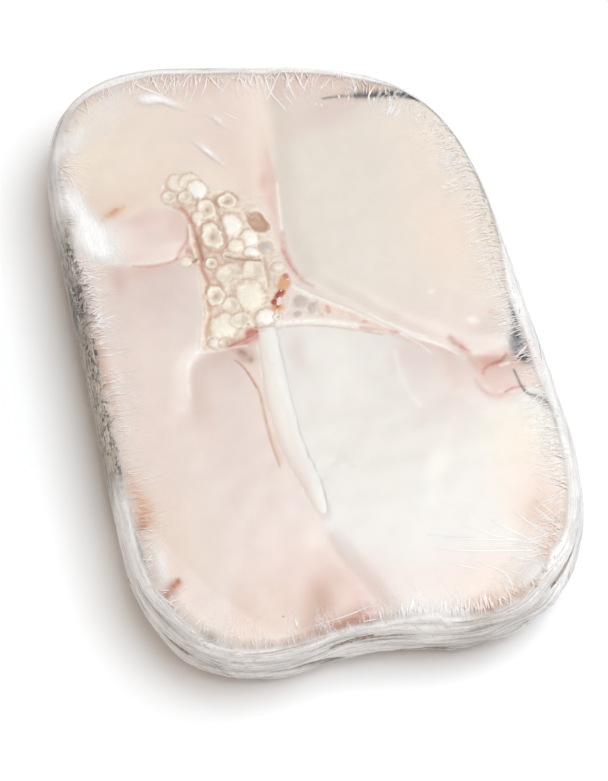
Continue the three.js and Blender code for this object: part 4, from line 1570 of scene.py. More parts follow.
class Skin:
    """The silver skin: a thin band round the side, under the film."""

    rows = 26
    stands = (-0.05, -0.28)

    def __init__(self, steak: Steak) -> None:
        """Takes the slice's form."""
        self.steak = steak

    def build(self, material: Material) -> Piece:
        """Makes the band as one closed shell and paints it."""
        bm = bmesh.new()
        order = bm.verts.layers.int.new("order")
        ring = bmesh.ops.create_circle(bm, segments=self.steak.steps, radius=1)["verts"]
        for i, vert in enumerate(ring):
            vert[order] = i
            vert.co = self._at(i, 0.0, self.stands[0])
        first = list(bm.edges)
        stops = [(r / self.rows, self.stands[0]) for r in range(1, self.rows + 1)]
        stops += [(1 - r / 6, self.stands[1]) for r in range(7)]
        edges = first
        for share, stand in stops:
            verts, edges = extruded(bm, edges)
            for vert in verts:
                vert.co = self._at(vert[order], share, stand)
        bmesh.ops.bridge_loops(bm, edges=first + edges)
        bmesh.ops.recalc_face_normals(bm, faces=bm.faces)
        write_wrap(bm, order, self.steak)
        piece = finish_piece(bm, "silver_skin_band", material)
        paint(piece, "tint", self.colour)
        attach(piece, "root")
        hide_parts("wrapped_steak")
        return piece

    def _at(self, index: int, share: float, stand: float) -> Vector:
        """A place on the skin, whose upper edge is ragged and lies lower away from the left."""
        rim, normal = self.steak.rim[index], self.steak.normals[index]
        top = 0.13 + 0.2 * ramp(normal.x, -0.6, 0.6) + 0.14 * normal.y**2 + 0.1 * max(0.0, normal.y)
        ragged = 0.035 * wander(rim.x, rim.y, 0, 4, 2) + 0.012 * wander(rim.x, rim.y, 0, 1, 6)
        turn = between(top + ragged, 0.93, share)
        sunk = 0.8 * self.steak.crease(self.steak.side(index, turn))
        return self.steak.side(index, turn, stand, -min(0.2, sunk))

    def colour(self, _: int, place: Vector) -> Colour:
        """Silver, darkest at the upper left, warm and brown along the near and far sides, with painted shade
        in the near side's long crease.
        """
        index, _distance = self.steak.line.nearest(place.x, place.y)
        normal = self.steak.normals[index]
        left = ramp(-normal.x, 0.3, 0.9)
        upper = ramp(place.z, 13.5, 18) * bell(place.y - 2, 24)
        colour = mixed(Tone.SILVER.paint, Tone.BROWN.paint, max(0.45 * normal.y**2, 0.32 * left * upper))
        streak = 0.5 + 0.5 * wander(place.x, place.y, 4 * place.z, 8, 5)
        colour = mixed(colour, Tone.MILK.paint, between(0.55, 0.25, left) * streak)
        # Painted shade: umber down the near side's long crease.
        colour = mixed(colour, Tone.UMBER.paint, 0.9 * self.steak.crease(place))
        dark = left * (0.5 * bell(place.y - 18, 14) + 1.2 * bell(math.hypot(place.y - 19, place.z - 17), 4.5))
        dark += 0.5 * ramp(wander(place.x, place.y, 3 * place.z, 12, 13), 0.0, 0.6)
        return mixed(colour, Tone.SLATE.paint, min(0.9, 0.62 * dark))


def write_wrap(bm: Mesh, order: object, steak: Steak) -> None:
    """Writes the UV map that follows the wrap round the side, in metres.

    Args:
        bm: a mesh of rings round the rim line.
        order: the layer that says which rim point each vertex belongs to.
        steak: the slice.
    """
    layer = bm.loops.layers.uv.new("wrap")
    step = steak.perimeter / steak.steps * METRES
    for face in bm.faces:
        orders = [loop.vert[order] for loop in face.loops]
        wraps = max(orders) - min(orders) > steak.steps / 2
        for loop, i in zip(face.loops, orders):
            place = loop.vert.co
            up = (place.z - THICKNESS) * METRES
            inwards = steak.inset(place.x, place.y) * METRES if place.z > HALF else -0.03
            around = i + steak.steps if wraps and i < steak.steps / 2 else i
            loop[layer].uv = (around * step, up - max(0.0, inwards))


# ---- the film


@dataclass(frozen=True)
class HazeAndGlare:
    """A soft patch where the film turns white: partly crumpled film, partly a painted reflection of the key
    light.
    """

    at: Place
    reach: Place
    strength: float
    turn: float = 0.0

    @classmethod
    def of(cls, x: float, y: float, across: float, along: float, *rest: float) -> "HazeAndGlare":
        """The patch of one row of a table."""
        return cls((x, y), (across, along), *rest)

    def weight(self, x: float, y: float) -> float:
        """How white the film is at a place."""
        dx, dy = x - self.at[0], y - self.at[1]
        if abs(dx) + abs(dy) > 3 * max(self.reach):
            return 0.0
        c, s = math.cos(math.radians(self.turn)), math.sin(math.radians(self.turn))
        across, along = (dx * c + dy * s) / self.reach[0], (dy * c - dx * s) / self.reach[1]
        return self.strength * math.exp(-((across * across + along * along) ** 1.5))


# x and y, reach across and along, strength, turn; the white is partly crumpled film and partly painted
# reflection
HAZE_AND_GLARE_ROWS = (
    (-41.5, 40, 2.6, 7, 0.85, 14), (-39.5, 32, 4.4, 4.6, 0.95, 20), (-37, 27, 4, 2.4, 0.5, -30),
    (-20.5, 62.8, 2.6, 1.5, 0.9, -15), (-16.6, 61, 3.4, 0.9, 0.8, -38), (-11.3, 46.6, 1.2, 1, 1, 30),
    (-7.3, 54.5, 1.2, 0.6, 0.8, -40), (-30, 62, 10, 4, 0.4, 35), (-40, 56, 5, 3, 0.5, 40),
    (-26, 70, 9, 2, 0.6, 10), (8, -69, 8, 2.2, 0.75, -8), (31, -64, 2, 4, 0.6, -60),
    (38.5, -62.5, 3, 3.4, 0.7, -20), (-42, -44, 1.6, 5, 0.6), (43, -11.5, 1.5, 6.4, -1.2, 8),
)


class FilmWrap:
    """The shrink film: one closed skin round the whole steak, folded along its side."""

    rows = 44
    insets = (0.5, 1.1, 1.8, 2.6, 3.6, 4.8, 6.2, 8, 10, 13, 17, 22, 28, 34, 39)
    under_insets = (3, 7, 12, 18, 25, 32, 38)
    groove_depth = 0.9
    gather_at = (38, -58)
    hazes_and_glare = [HazeAndGlare.of(*row) for row in HAZE_AND_GLARE_ROWS]

    def __init__(self, steak: Steak) -> None:
        """Takes the slice's form."""
        self.steak = steak

    def relief(self, index: int, turn: float) -> float:
        """How far the film stands off the side at one place: folds that lie along it."""
        place = self.steak.side(index, turn)
        normal = self.steak.normals[index]
        middle = math.sin(math.pi * min(1.0, max(0.0, turn)))
        near = ramp(-normal.y, -0.2, 0.8)
        lines = wander(place.x / 7, place.y / 7, place.z, 1.5, 8)
        wide = wander(place.x / 5, place.y / 5, place.z, 3.4, 4)
        fine = wander(place.x, place.y, 0.8 * place.z, 0.9, 5)
        away = math.hypot(place.x - self.gather_at[0], place.y - self.gather_at[1])
        crimp = 0.3 + 0.7 * math.cos(11 * (place.x - place.y / 2 + place.z) / 20)
        layered = 0.25 + 0.75 * near
        return middle * (
            0.3 * near - self.groove_depth * self.steak.crease(place)
            + layered * (0.5 * lines + 0.7 * wide)
            + 0.1 * fine
            + bell(away, 20) * crimp
        )

    def build(self, material: Material) -> Piece:
        """Makes the film and paints how white it is."""
        bm = bmesh.new()
        order = bm.verts.layers.int.new("order")
        ring = bmesh.ops.create_circle(bm, segments=self.steak.steps, radius=1)["verts"]
        for i, vert in enumerate(ring):
            vert[order] = i
            vert.co = self.steak.side(i, 0.0, 0.12)
        first = list(bm.edges)
        edges = first
        for row in range(1, self.rows + 1):
            verts, edges = extruded(bm, edges)
            turn = row / self.rows
            for vert in verts:
                index = vert[order]
                stand = 0.12 if row < self.rows else 0.0
                vert.co = self.steak.side(index, turn, stand, self.relief(index, turn))
        foot = self.steak.form.foot_inset
        for inset in self.under_insets:
            verts, edges = extruded(bm, edges)
            for vert in verts:
                flat = self._inwards(vert[order], foot + inset)
                vert.co = (flat.x, flat.y, 0.02)
        self._close(bm, edges, 0.02)
        edges = first
        rim_inset = self.steak.form.rim_inset
        for inset in self.insets:
            verts, edges = extruded(bm, edges)
            for vert in verts:
                flat = self._inwards(vert[order], rim_inset + inset)
                wave = 0.05 * wander(flat.x, flat.y, 0, 3, 2) * bell(inset, 9)
                vert.co = (flat.x, flat.y, self.steak.face(flat.x, flat.y) + 0.06 + wave)
        self._close(bm, edges, None)
        bmesh.ops.recalc_face_normals(bm, faces=bm.faces)
        write_wrap(bm, order, self.steak)
        piece = finish_piece(bm, "shrink_film", material)
        paint(piece, "veil", self.veil)
        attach(piece, "root")
        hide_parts("wrapped_steak")
        return piece

    def _inwards(self, index: int, inset: float) -> Vector:
        """A place on the face that far in from the rim line, drawn towards the middle line."""
        point = self.steak.rim[index]
        core = Vector((0.35 * point.x * 0.1, point.y * 0.42))
        reach = (point - core).length
        share = min(0.97, inset / reach)
        straight = point - self.steak.normals[index] * inset
        drawn = point.lerp(core, share)
        return straight.lerp(drawn, ramp(inset, 3, 14))

    def _close(self, bm: Mesh, edges: Sequence[bmesh.types.BMEdge], height: float | None) -> None:
        """Closes a ring across its narrow middle."""
        made = bmesh.ops.extrude_edge_only(bm, edges=list(edges))["geom"]
        inner = [g for g in made if isinstance(g, bmesh.types.BMVert)]
        for vert in inner:
            y = 0.96 * vert.co.y
            z = height if height is not None else self.steak.face(0, y) + 0.06
            vert.co = (0.0, round(y / 1.5) * 1.5, z)
        bmesh.ops.remove_doubles(bm, verts=inner, dist=0.01)
        bmesh.ops.dissolve_degenerate(bm, dist=0.001, edges=bm.edges)

    def veil(self, _: int, place: Vector) -> Colour:
        """How white the film is, and how much its creases show across and along the rim.

        Args:
            _: the vertex's index.
            place: where it is, in millimetres.

        Returns:
            The veil, the creases that run inwards and those that run round.
        """
        inset = self.steak.inset(place.x, place.y)
        index, _distance = self.steak.line.nearest(place.x, place.y)
        normal = self.steak.normals[index]
        near, left = ramp(-normal.y, 0.1, 0.8), ramp(-normal.x, 0.4, 0.85)
        right, far = ramp(normal.x, 0.4, 0.9), ramp(normal.y, 0.3, 0.8)
        start = 0.5 * near - 0.2 * far - 2.0 * right * ramp(place.y, -4, 20)
        start += 1.3 * right * bell(place.y + 12, 15)
        on_face = ramp(inset, start - 0.9, start + 0.4) if place.z > HALF else 0.0
        clear = left * (1 - ramp(-place.y, 18, 30)) * (1 - 0.7 * ramp(place.y, 30, 42))
        side = between(0.96 - 0.04 * near - 0.1 * right, 0.08, clear)
        side -= 0.3 * near * ramp(place.x, 0, 12) * (1 - ramp(place.x, 20, 32))
        # The film thins in the crease so that the painted shade on the skin shows.
        side -= 0.75 * self.steak.crease(place)
        side += 0.16 * ramp(wander(place.x, place.y, 2 * place.z, 5, 12), -0.3, 0.5) - 0.1
        # A patchy whiter band just inside the near and left rim: partly crumpled film, partly painted glints.
        patch = 0.6 + 0.8 * wander(place.x, place.y, 0, 2.6, 15)
        face = 0.012 + between(0.1, 0.4, max(left, near)) * bell(inset - 0.4, 1.3) * patch
        veil = between(side, face, on_face)
        if place.z > HALF:
            # The white patches are partly crumpled film and partly painted reflection of the key light.
            veil += sum(haze_and_glare.weight(place.x, place.y) for haze_and_glare in self.hazes_and_glare)
        inwards = between(0.4, bell(inset, 5.5), on_face)
        along = between(0.5 + 0.4 * near - 0.25 * clear, 0.8 * right * bell(inset - 1, 1.6), on_face)
        return min(0.95, max(0.0, veil)), inwards, along


@dataclass(frozen=True)
class Ribbon:
    """One narrow fold: where it runs, which way is across it and up, and how strongly its painted highlight
    or painted shade shows.
    """

    line: Sequence[Vector]
    across: Sequence[Vector]
    up: Sequence[Vector]
    width: float
    rise: float
    strength: float
    tone: Tone = Tone.GLINT


@dataclass(frozen=True)
class PleatRun:
    """A run of fine folds in the film along one stretch of the rim."""

    name: str
    start: Place
    stop: Place
    spacing: float
    length: Place
    outer: Place
    lean: Place
    width: Place
    strength: Place
    clump: float
    # The tone is the glint's painted highlight unless a dark tone is named for dark specks.
    tone: str = "GLINT"


@dataclass(frozen=True)
class FoldRun:
    """Long folds of film that lie along one stretch of the side."""

    name: str
    start: Place
    stop: Place
    count: int
    length: Place
    turns: Place
    slant: float
    width: Place
    strength: Place
    # Share of the folds painted dark as shade in their crease; the others are painted highlights.
    shaded: float = 0.2


@dataclass(frozen=True)
class Streak:
    """One long fold of film across the face, painted white as its highlight."""

    through: tuple[Place, ...]
    width: float
    strength: float

    @classmethod
    def of(cls, sizes: Sequence[float], *numbers: float) -> "Streak":
        """The fold of one row of a table."""
        return cls(pairs(numbers), *sizes)


PLEAT_RUNS = (
    ("far side", (-24, 71), (22, 60), 1.15, (3.5, 8.5), (-2.2, 0.5), (-32, 4), (0.2, 0.36), (0.5, 1), 0.5),
    ("far side short", (-30, 68), (30, 56), 0.75, (1.2, 3.4), (-2.5, 1.5), (-40, 25), (0.14, 0.3), (0.4,
        0.9), 0.4),
    ("far right corner", (22, 60), (42, 38), 1.2, (1.5, 4), (-1.5, 3.5), (10, 42), (0.16, 0.3), (0.4, 0.95),
        0.5),
    ("right side", (44, 34), (44, -12), 0.8, (3.5, 7.5), (-0.6, 0.9), (2, 9), (0.15, 0.26), (0.4, 0.9),
        0.25),
    ("right side fine", (43, 44), (47, -44), 0.6, (1, 3), (-2.6, 0.6), (-12, 20), (0.1, 0.22), (0.5, 1),
        0.2),
    ("right lower", (46, -14), (45, -50), 1.1, (3.5, 8), (-1, 1), (6, 34), (0.14, 0.26), (0.4, 0.9), 0.35),
    ("near right corner", (45, -48), (36, -66), 0.6, (4, 12), (0, 1.2), (22, 40), (0.14, 0.26), (0.55, 1),
        0.2),
    ("near side", (22, -73), (2, -67), 0.34, (1.6, 5), (-0.4, 1), (-12, 12), (0.24, 0.5), (0.8, 1), 0.1),
    ("near corner flecks", (36, -66), (22, -73), 0.8, (1.5, 5), (-1, 1.5), (-30, 30), (0.18, 0.36), (0.5,
        1), 0.2),
    ("near left", (2, -67), (-36, -63), 1.1, (0.8, 2.4), (-1, 0.6), (-30, 30), (0.14, 0.3), (0.5, 0.95),
        0.4),
    ("left corner", (-36, -63), (-45, -40), 0.7, (1, 3), (-1.5, 0.5), (-35, 35), (0.16, 0.36), (0.4, 0.9),
        0.3),
    ("left side", (-46, -40), (-45, 22), 0.9, (3, 9), (-0.8, 0.8), (-8, 10), (0.1, 0.22), (0.3, 0.65), 0.3),
    ("left upper", (-45, 10), (-45, 30), 0.6, (1.5, 5), (-1, 2), (-38, 38), (0.14, 0.3), (0.6, 1), 0.2),
    ("far left", (-45, 36), (-26, 69), 0.8, (1.5, 5.5), (-1.5, 1.5), (-45, 10), (0.14, 0.34), (0.35, 0.9),
        0.5),
    ("left dark hairs", (-46, 13), (-46, 25), 0.36, (1.2, 3.6), (-2.6, 0.5), (-75, 75), (0.2, 0.5), (0.6,
        1), 0.2, "INK"),
    ("left rim specks", (-46, -24), (-46, 0), 1.2, (0.5, 1.3), (-1.2, 0.2), (-80, 80), (0.2, 0.4), (0.5, 1),
        0.8, "INK"),
    ("right dark specks", (44, 20), (46, -34), 1, (0.4, 1.4), (-2.8, -0.4), (-80, 80), (0.14, 0.34), (0.3,
        0.8), 0.6, "SLATE"),
    ("corner dark specks", (38, -62), (24, -73), 1.4, (0.5, 1.6), (-0.8, 0.8), (-70, 70), (0.2, 0.5), (0.5,
        1), 0.4, "UMBER"),
)

FOLD_RUNS = (
    ("near upper", (-36, -63), (36, -66), 34, (6, 24), (0.2, 0.5), 0.05, (0.12, 0.3), (0.4, 0.9)),
    ("near lower", (-36, -63), (36, -66), 44, (3, 14), (0.6, 0.9), 0.1, (0.16, 0.4), (0.6, 1), 0.35),
    ("near glints", (-40, -56), (40, -62), 90, (0.6, 2.4), (0.1, 0.95), 0.5, (0.1, 0.24), (0.9, 1), 0),
    ("near left corner", (-46, -36), (-24, -68), 54, (4, 20), (0.12, 0.85), 0.14, (0.16, 0.44), (0.6, 1),
        0.12),
    ("near right corner", (22, -73), (46, -40), 40, (3, 12), (0.14, 0.8), 0.16, (0.18, 0.5), (0.5, 1),
        0.08),
    ("left side", (-46, -40), (-46, 46), 26, (2, 9), (0.3, 0.8), 0.12, (0.1, 0.24), (0.3, 0.7)),
    ("right side", (46, -44), (42, 44), 60, (2, 8), (0.2, 0.6), 0.12, (0.14, 0.34), (0.5, 1), 0.06),
    ("far side", (42, 44), (-44, 50), 60, (5, 20), (0.2, 0.8), 0.1, (0.16, 0.4), (0.4, 0.9), 0.04),
)

# width and strength of the painted highlight, then x and y in turn
STREAKS = (
    ((0.36, 0.95), 20.4, -50.9, 23.6, -52.8, 27.3, -55.1, 32.5, -57.1),
    ((0.34, 0.9), 15, -52.3, 23.1, -54.6, 30.2, -56.5, 35, -59),
    ((0.4, 0.95), 13.1, -54.3, 20.4, -56.5, 31.9, -59.2, 36, -61),
    ((0.36, 0.5), 12, -50.8, 17, -52.2, 22, -54), ((0.36, 0.95), 25.8, -50.7, 32.6, -56.7, 36.5, -60.5),
    ((0.34, 1), 31, -49.8, 34.6, -54.4, 37.2, -58), ((0.32, 0.95), 34.8, -49, 38.2, -53.8, 40, -57),
    ((0.3, 0.95), 36.3, -48.6, 38.3, -51.3, 40.6, -55.4), ((0.28, 0.9), 35.3, -50.3, 39.7, -56.7),
    ((0.3, 0.9), 33.4, -52, 38.5, -59.2), ((0.34, 0.85), 29, -57.1, 34.5, -60.5, 37, -61.4),
    ((0.32, 0.9), 37.3, -42.3, 44.4, -47.3), ((0.28, 0.8), 38.5, -44.6, 44.6, -48.5),
    ((0.28, 0.8), 37.2, -45.5, 38.9, -48.2), ((0.3, 0.9), 39.8, -32.5, 45.8, -34.6),
    ((0.3, 0.8), 40.5, -38.6, 45, -41.3), ((0.4, 0.8), 15.7, -58.2, 21.7, -61.1),
    ((0.36, 0.9), 20.9, -59, 26, -63, 26.6, -67.7, 27.2, -69.3), ((0.32, 0.75), 26, -61.9, 31.6, -65.3),
    ((0.34, 0.9), 25.2, -65.1, 25.6, -68.3, 24.6, -72),
    ((0.3, 0.85), -12.9, -64.3, -7.7, -63.9, -1.7, -62.8), ((0.28, 0.7), -15.6, -64.6, -11.2, -64.1),
    ((0.5, 1), -18.3, -62, -18.3, -63.9), ((0.44, 1), -7.9, -65.6, -7.7, -66.8),
    ((0.36, 1), -1.2, -64.4, -1.2, -66.8), ((0.36, 1), 2.7, -65.2, 2.6, -67.4),
    ((0.44, 0.9), -18.8, 69.8, -18.5, 66.2, -16.8, 61.4),
    ((0.55, 0.95), -23.6, 69.9, -22.5, 67.2, -18.4, 63.8, -15.3, 60.6),
    ((0.4, 0.9), -24.3, 66.8, -24.4, 64.9), ((0.36, 0.9), -9.4, 66.7, -9.9, 62.8),
    ((0.38, 0.95), -6.8, 65.7, -5.4, 62.9, -3.9, 60.1), ((0.36, 0.9), -0.4, 64.5, 1.3, 58.8),
    ((0.42, 1), 5.7, 64, 6, 58.1, 8.5, 52.3), ((0.34, 0.9), 8.2, 58.3, 10.1, 53.1),
    ((0.42, 1), 10.3, 64, 10.3, 58.2, 11, 54), ((0.36, 0.8), -6, 55.9, -2.2, 52.6),
    ((0.4, 1), 12.2, 63, 12.8, 58.8, 13.8, 55.5), ((0.3, 0.8), 7.1, 54.5, 8.3, 52.2),
    ((0.46, 1), 24.8, 55.1, 23.8, 53.6), ((0.36, 1), 29.3, 54.6, 26.9, 52.2, 26.1, 50.1),
    ((0.42, 1), 20.3, 53.9, 20.3, 52.7), ((0.42, 1), 22.4, 53, 22.1, 51.9),
    ((0.46, 1), 27.9, 51.4, 27.4, 50.1), ((0.5, 1), 14.9, 53.1, 14.7, 52.3),
    ((0.5, 1), 16.1, 52.5, 15.9, 51.7), ((0.44, 1), 31.4, 49.1, 29, 45.7), ((0.4, 1), 32.1, 48.6, 30, 46.1),
    ((0.4, 1), 33, 47.4, 30.7, 45.3), ((0.5, 1), 36.9, 44.9, 35.7, 44.2), ((0.36, 1), 36.1, 26.7, 38, 25.3),
    ((0.3, 0.9), 37, 27.8, 40, 25.1), ((0.44, 1), -43.7, 11.6, -42, 13.6), ((0.4, 1), -43.7, 13.2, -42, 15),
    ((0.3, 0.9), -44, 25, -39.9, 21.8),
    ((0.44, 0.8), -43.1, 49.9, -41.6, 47.9, -40.3, 40.7, -38.8, 36.3, -37, 33.7),
)


class FilmPleats:
    """The folds that the shrunk film makes all round the rim and along the side, painted white as their
    highlights, a few painted dark as shade.
    """

    stations = 9
    runs = [PleatRun(*row) for row in PLEAT_RUNS]
    folds = [FoldRun(*row) for row in FOLD_RUNS]
    streaks = [Streak.of(*row) for row in STREAKS]

    columns = ((-1, 0), (0, 1), (1, 0), (-1, 0))

    def __init__(self, steak: Steak, film: FilmWrap, tones: FleshTones) -> None:
        """Takes the slice's form, the film that the folds lie in and what shows through it."""
        self.steak, self.film, self.tones = steak, film, tones
        self.dice = random.Random(SEED)

    def surface(self, x: float, y: float) -> float:
        """The film's height over a place, down its rounded rim too."""
        inset = self.steak.inset(x, y)
        rim_inset = self.steak.form.rim_inset
        if inset >= rim_inset:
            return self.steak.face(x, y) - 0.26 + Flesh.lumps(x, y)
        index = self.steak.line.nearest(x, y)[0]
        bulge = self.steak.bulge(self.steak.normals[index])
        out = min(0.999, (rim_inset - inset) / (rim_inset + bulge))
        power = self.steak.form.squareness / 2
        share = (1 - out ** (2 * power)) ** (0.5 / power)
        lowered = (self.steak.face(x, y) - THICKNESS) * ramp(share, 0.6, 1.0)
        return HALF * (1 + share) + lowered + between(0.16, -0.26, ramp(inset, 0.6, rim_inset))

    def _span(self, start: Place, stop: Place) -> list[int]:
        """The rim points from one place to another, the shorter way round."""
        first, last = self.steak.index_at(start), self.steak.index_at(stop)
        count = self.steak.steps
        ahead = (last - first) % count
        if ahead <= count / 2:
            return [(first + i) % count for i in range(ahead)]
        return [(first - i) % count for i in range(count - ahead)]

    def _ribbons(self) -> list[Ribbon]:
        """Every fold, from the runs and the long streaks."""
        found = []
        step = self.steak.perimeter / self.steak.steps
        for run in self.runs:
            span = self._span(run.start, run.stop)
            position = 0.0
            while position < len(span) - 1:
                index = span[int(position)]
                position += max(0.3, run.spacing * self.dice.uniform(0.5, 1.5)) / step
                gap = run.clump * (0.5 + 0.8 * wander(position * step, 0, 0, 5, 3))
                if self.dice.random() >= gap:
                    found.append(self._pleat(run, index))
        for run in self.folds:
            span = self._span(run.start, run.stop)
            for _ in range(run.count):
                found.append(self._fold(run, span, step))
        for streak in self.streaks:
            line = smooth_line(streak.through, step=0.3)
            found.append(self._laid(line, streak.width, streak.strength))
        return found

    def _laid(
        self, through: Sequence[Vector], width: float, strength: float, tone: Tone = Tone.GLINT
    ) -> Ribbon:
        """A fold that lies on the upper face and over its rounded rim."""
        last = self.stations - 1
        line = [through[round(i * (len(through) - 1) / last)] for i in range(self.stations)]
        across = []
        for i in range(self.stations):
            heading = (line[min(i + 1, last)] - line[max(i - 1, 0)]).normalized()
            across.append(Vector((heading.y, -heading.x, 0)))
        places = [Vector((p.x, p.y, self.surface(p.x, p.y))) for p in line]
        return Ribbon(places, across, [Vector((0, 0, 1))] * self.stations, 0.56 * width, 0.02, strength, tone)

    def _pleat(self, run: PleatRun, index: int) -> Ribbon:
        """One short fold across the rim."""
        dice = self.dice
        point, normal = self.steak.rim[index], self.steak.normals[index]
        inward = -normal
        inward.rotate(Matrix.Rotation(math.radians(dice.uniform(*run.lean)), 2))
        start = point - normal * dice.uniform(*run.outer)
        length = dice.uniform(*run.length)
        side = Vector((inward.y, -inward.x))
        bow = dice.uniform(-0.08, 0.08) * length
        line = []
        for i in range(self.stations):
            share = i / (self.stations - 1)
            line.append(start + inward * length * share + side * bow * 4 * share * (1 - share))
        width, strength = dice.uniform(*run.width), dice.uniform(*run.strength)
        return self._laid(line, width, strength, Tone[run.tone])

    def _fold(self, run: FoldRun, span: Sequence[int], step: float) -> Ribbon:
        """One long fold that lies along the side."""
        dice = self.dice
        count = max(8, round(dice.uniform(*run.length) / step))
        first = dice.randrange(max(1, len(span) - count))
        turn, slant = dice.uniform(*run.turns), dice.uniform(-run.slant, run.slant)
        line, across, up = [], [], []
        for i in range(self.stations):
            share = i / (self.stations - 1)
            index = span[min(len(span) - 1, first + round(share * count))]
            here = turn + slant * (share - 0.5)
            relief = self.film.relief(index, here)
            line.append(self.steak.side(index, here, 0.15, relief))
            above = self.steak.side(index, here - 0.02, 0.15, self.film.relief(index, here - 0.02))
            across.append((line[-1] - above).normalized())
            angle = math.pi * (0.5 - here)
            normal = self.steak.normals[index] * math.cos(angle)
            up.append(Vector((normal.x, normal.y, math.sin(angle))))
        width, strength = dice.uniform(*run.width), dice.uniform(*run.strength)
        # A few folds are painted dark as shade in their crease, the rest white as their highlight.
        tone = Tone.CREASE if dice.random() < run.shaded else Tone.GLINT
        return Ribbon(line, across, up, 0.7 * width, 0.04, strength, tone)

    def build(self, material: Material) -> Piece:
        """Makes every fold as one piece, from one grid that is cut into strips."""
        ribbons, stations, wide = self._ribbons(), self.stations, len(self.columns)
        bm = bmesh.new()
        bmesh.ops.create_grid(bm, x_segments=stations - 1, y_segments=wide * len(ribbons) - 1, size=0.5)
        colours = bm.verts.layers.float_vector.new("shade")
        for order, vert in enumerate(bm.verts):
            vert.index = order
        spare = [f for f in bm.faces if min(v.index for v in f.verts) // stations % wide == wide - 1]
        for vert in bm.verts:
            row, station = divmod(vert.index, stations)
            ribbon, (offset, lift) = ribbons[row // wide], self.columns[row % wide]
            full = max(0.0, math.sin(math.pi * station / (stations - 1))) ** 0.6
            side = ribbon.across[station] * (offset * ribbon.width * full)
            vert.co = ribbon.line[station] + side + ribbon.up[station] * (lift * ribbon.rise * full)
            # The crest takes the full painted highlight or shade, the edges only part of it.
            vert[colours] = self._shade(ribbon, full * (1.0 if lift else 0.3), vert.co)
        bmesh.ops.delete(bm, geom=spare, context="FACES_ONLY")
        bmesh.ops.delete(bm, geom=[e for e in bm.edges if not e.link_faces], context="EDGES")
        bmesh.ops.remove_doubles(bm, verts=bm.verts, dist=0.0006)
        bmesh.ops.recalc_face_normals(bm, faces=bm.faces)
        shades = [tuple(v[colours]) for v in bm.verts]
        piece = finish_piece(bm, "film_pleats_painted_glints", material, smooth=False)
        paint(piece, "tint", lambda i, _: shades[i])
        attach(piece, "root")
        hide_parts("wrapped_steak")
        return piece

    def _shade(self, ribbon: Ribbon, share: float, place: Vector) -> Colour:
        """The fold's tone along its crest (mostly a painted highlight, at times painted shade or dark
        specks), and nearly what lies below at its edges.
        """
        on_face = ramp(place.z, THICKNESS - 3.2, THICKNESS - 1.2)
        below = mixed(Tone.HAZE.paint, self.tones.at(place.x, place.y, 0), on_face)
        return mixed(below, ribbon.tone.paint, ribbon.strength * share)


# ---- studio


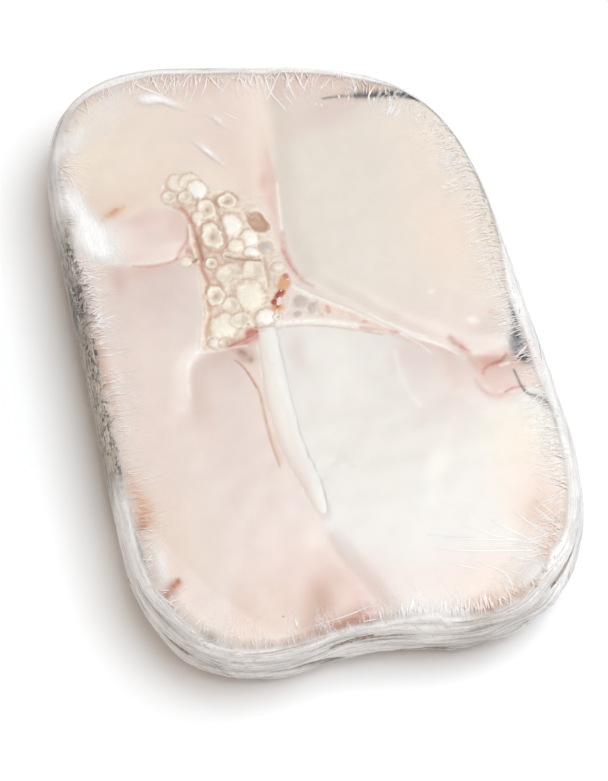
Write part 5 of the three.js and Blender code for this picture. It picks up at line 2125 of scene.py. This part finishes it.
class Studio:
    """The pale floor, the soft light and the camera."""

    target = Vector((-0.00326, -0.00916, 0.011))
    distance = 0.5843
    elevation = 67.0
    azimuth = -14.0
    lens = 125.0

    def camera(self) -> None:
        """Makes the camera at the photograph's angle."""
        data = bpy.data.cameras.new("studio_camera")
        data.lens = self.lens
        data.sensor_width = 36.0
        data.clip_start = 0.01
        camera = bpy.data.objects.new("studio_camera", data)
        bpy.context.scene.collection.objects.link(camera)
        elevation, azimuth = math.radians(self.elevation), math.radians(self.azimuth)
        back = Vector((
            math.sin(azimuth) * math.cos(elevation),
            -math.cos(azimuth) * math.cos(elevation),
            math.sin(elevation),
        ))
        camera.location = self.target + back * self.distance
        camera.rotation_euler = back.to_track_quat("Z", "Y").to_euler()
        bpy.context.scene.camera = camera

    def floor(self) -> None:
        """Makes the plain floor, with a low swell of its own grain in the paint."""
        bm = bmesh.new()
        bmesh.ops.create_grid(bm, x_segments=8, y_segments=8, size=2500)
        bmesh.ops.translate(bm, vec=(0, 0, -0.05), verts=bm.verts)
        material = bpy.data.materials.new("white_table")
        material.use_nodes = True
        shader = material.node_tree.nodes["Principled BSDF"]
        nodes = Nodes(material.node_tree)
        where = nodes.add("ShaderNodeTexCoord").outputs["Object"]
        paper = nodes.blend(nodes.noise(where, 9.0), (0.94, 0.94, 0.94, 1), (0.96, 0.96, 0.96, 1))
        nodes.link(paper, shader.inputs["Base Color"])
        shader.inputs["Roughness"].default_value = 0.9
        shader.inputs["Specular IOR Level"].default_value = 0.1
        floor = finish_piece(bm, "studio_floor", material)

    def lamp(self, name: str, place: Sequence[float], size: float, power: float, colour: Colour) -> None:
        """Adds one soft square lamp that faces the steak."""
        data = bpy.data.lights.new(name, "AREA")
        data.size = size
        data.energy = power
        data.color = colour
        lamp = bpy.data.objects.new(name, data)
        bpy.context.scene.collection.objects.link(lamp)
        lamp.location = place
        lamp.rotation_euler = Vector(place).to_track_quat("Z", "Y").to_euler()

    def light(self) -> None:
        """Lights the steak from the far right, with pale fill all round."""
        world = bpy.data.worlds.new("studio_world")
        bpy.context.scene.world = world
        world.use_nodes = True
        background = world.node_tree.nodes["Background"]
        background.inputs["Color"].default_value = (1.0, 0.81, 0.68, 1)
        background.inputs["Strength"].default_value = 0.42
        self.lamp("key", (0.52, 0.0, 1.5), 1.1, 22.9, (0.88, 0.988, 1.06))
        self.lamp("near_fill", (-0.5, -0.85, 0.28), 0.5, 0.4, (1.0, 0.95, 0.9))
        bpy.context.scene.view_settings.view_transform = "Standard"


# ---- assembly


def main() -> None:
    """Builds the steak piece by piece and dresses it."""
    logging.basicConfig(level=logging.INFO, format="%(message)s")
    studio = Studio()
    studio.camera()
    finishes = Finishes()
    steak = Steak(SteakForm())
    tones = FleshTones()
    vertebra = CutBone(
        "vertebra_cut", "vertebra", "bone", smooth_line(VERTEBRA_OUTLINE, closed=True, step=0.2),
        Tone.GAP, VERTEBRA_CELLS, VERTEBRA_STRANDS, VERTEBRA_BLUSHES,
    ).let_in(steak, tones)
    wing = CutBone(
        "wing_bone_cut", "wing_bone", "grey_bone", wing_outline(), Tone.PALE, WING_CELLS, WING_STRANDS,
    ).let_in(steak, tones)
    wing.mottle, wing.margin = 0.12, 0.5
    spine = Spine(steak, tones)
    flesh = Flesh(steak, tones, [vertebra.loop, wing.loop], spine)
    film = FilmWrap(steak)
    makers: list[tuple[object, Material]] = [
        (vertebra, finishes.bone),
        (wing, finishes.bone),
        (spine, finishes.flesh),
        (flesh, finishes.flesh),
        (Skin(steak), finishes.skin),
        (film, finishes.film),
        (FilmPleats(steak, film, tones), finishes.pleat_glints),
    ]
    for maker, material in makers:
        piece = maker.build(material)
        LOG.info("%s: %d faces", piece.name, len(piece.data.polygons))
    studio.floor()
    studio.light()


if __name__ == "__main__":
    main()
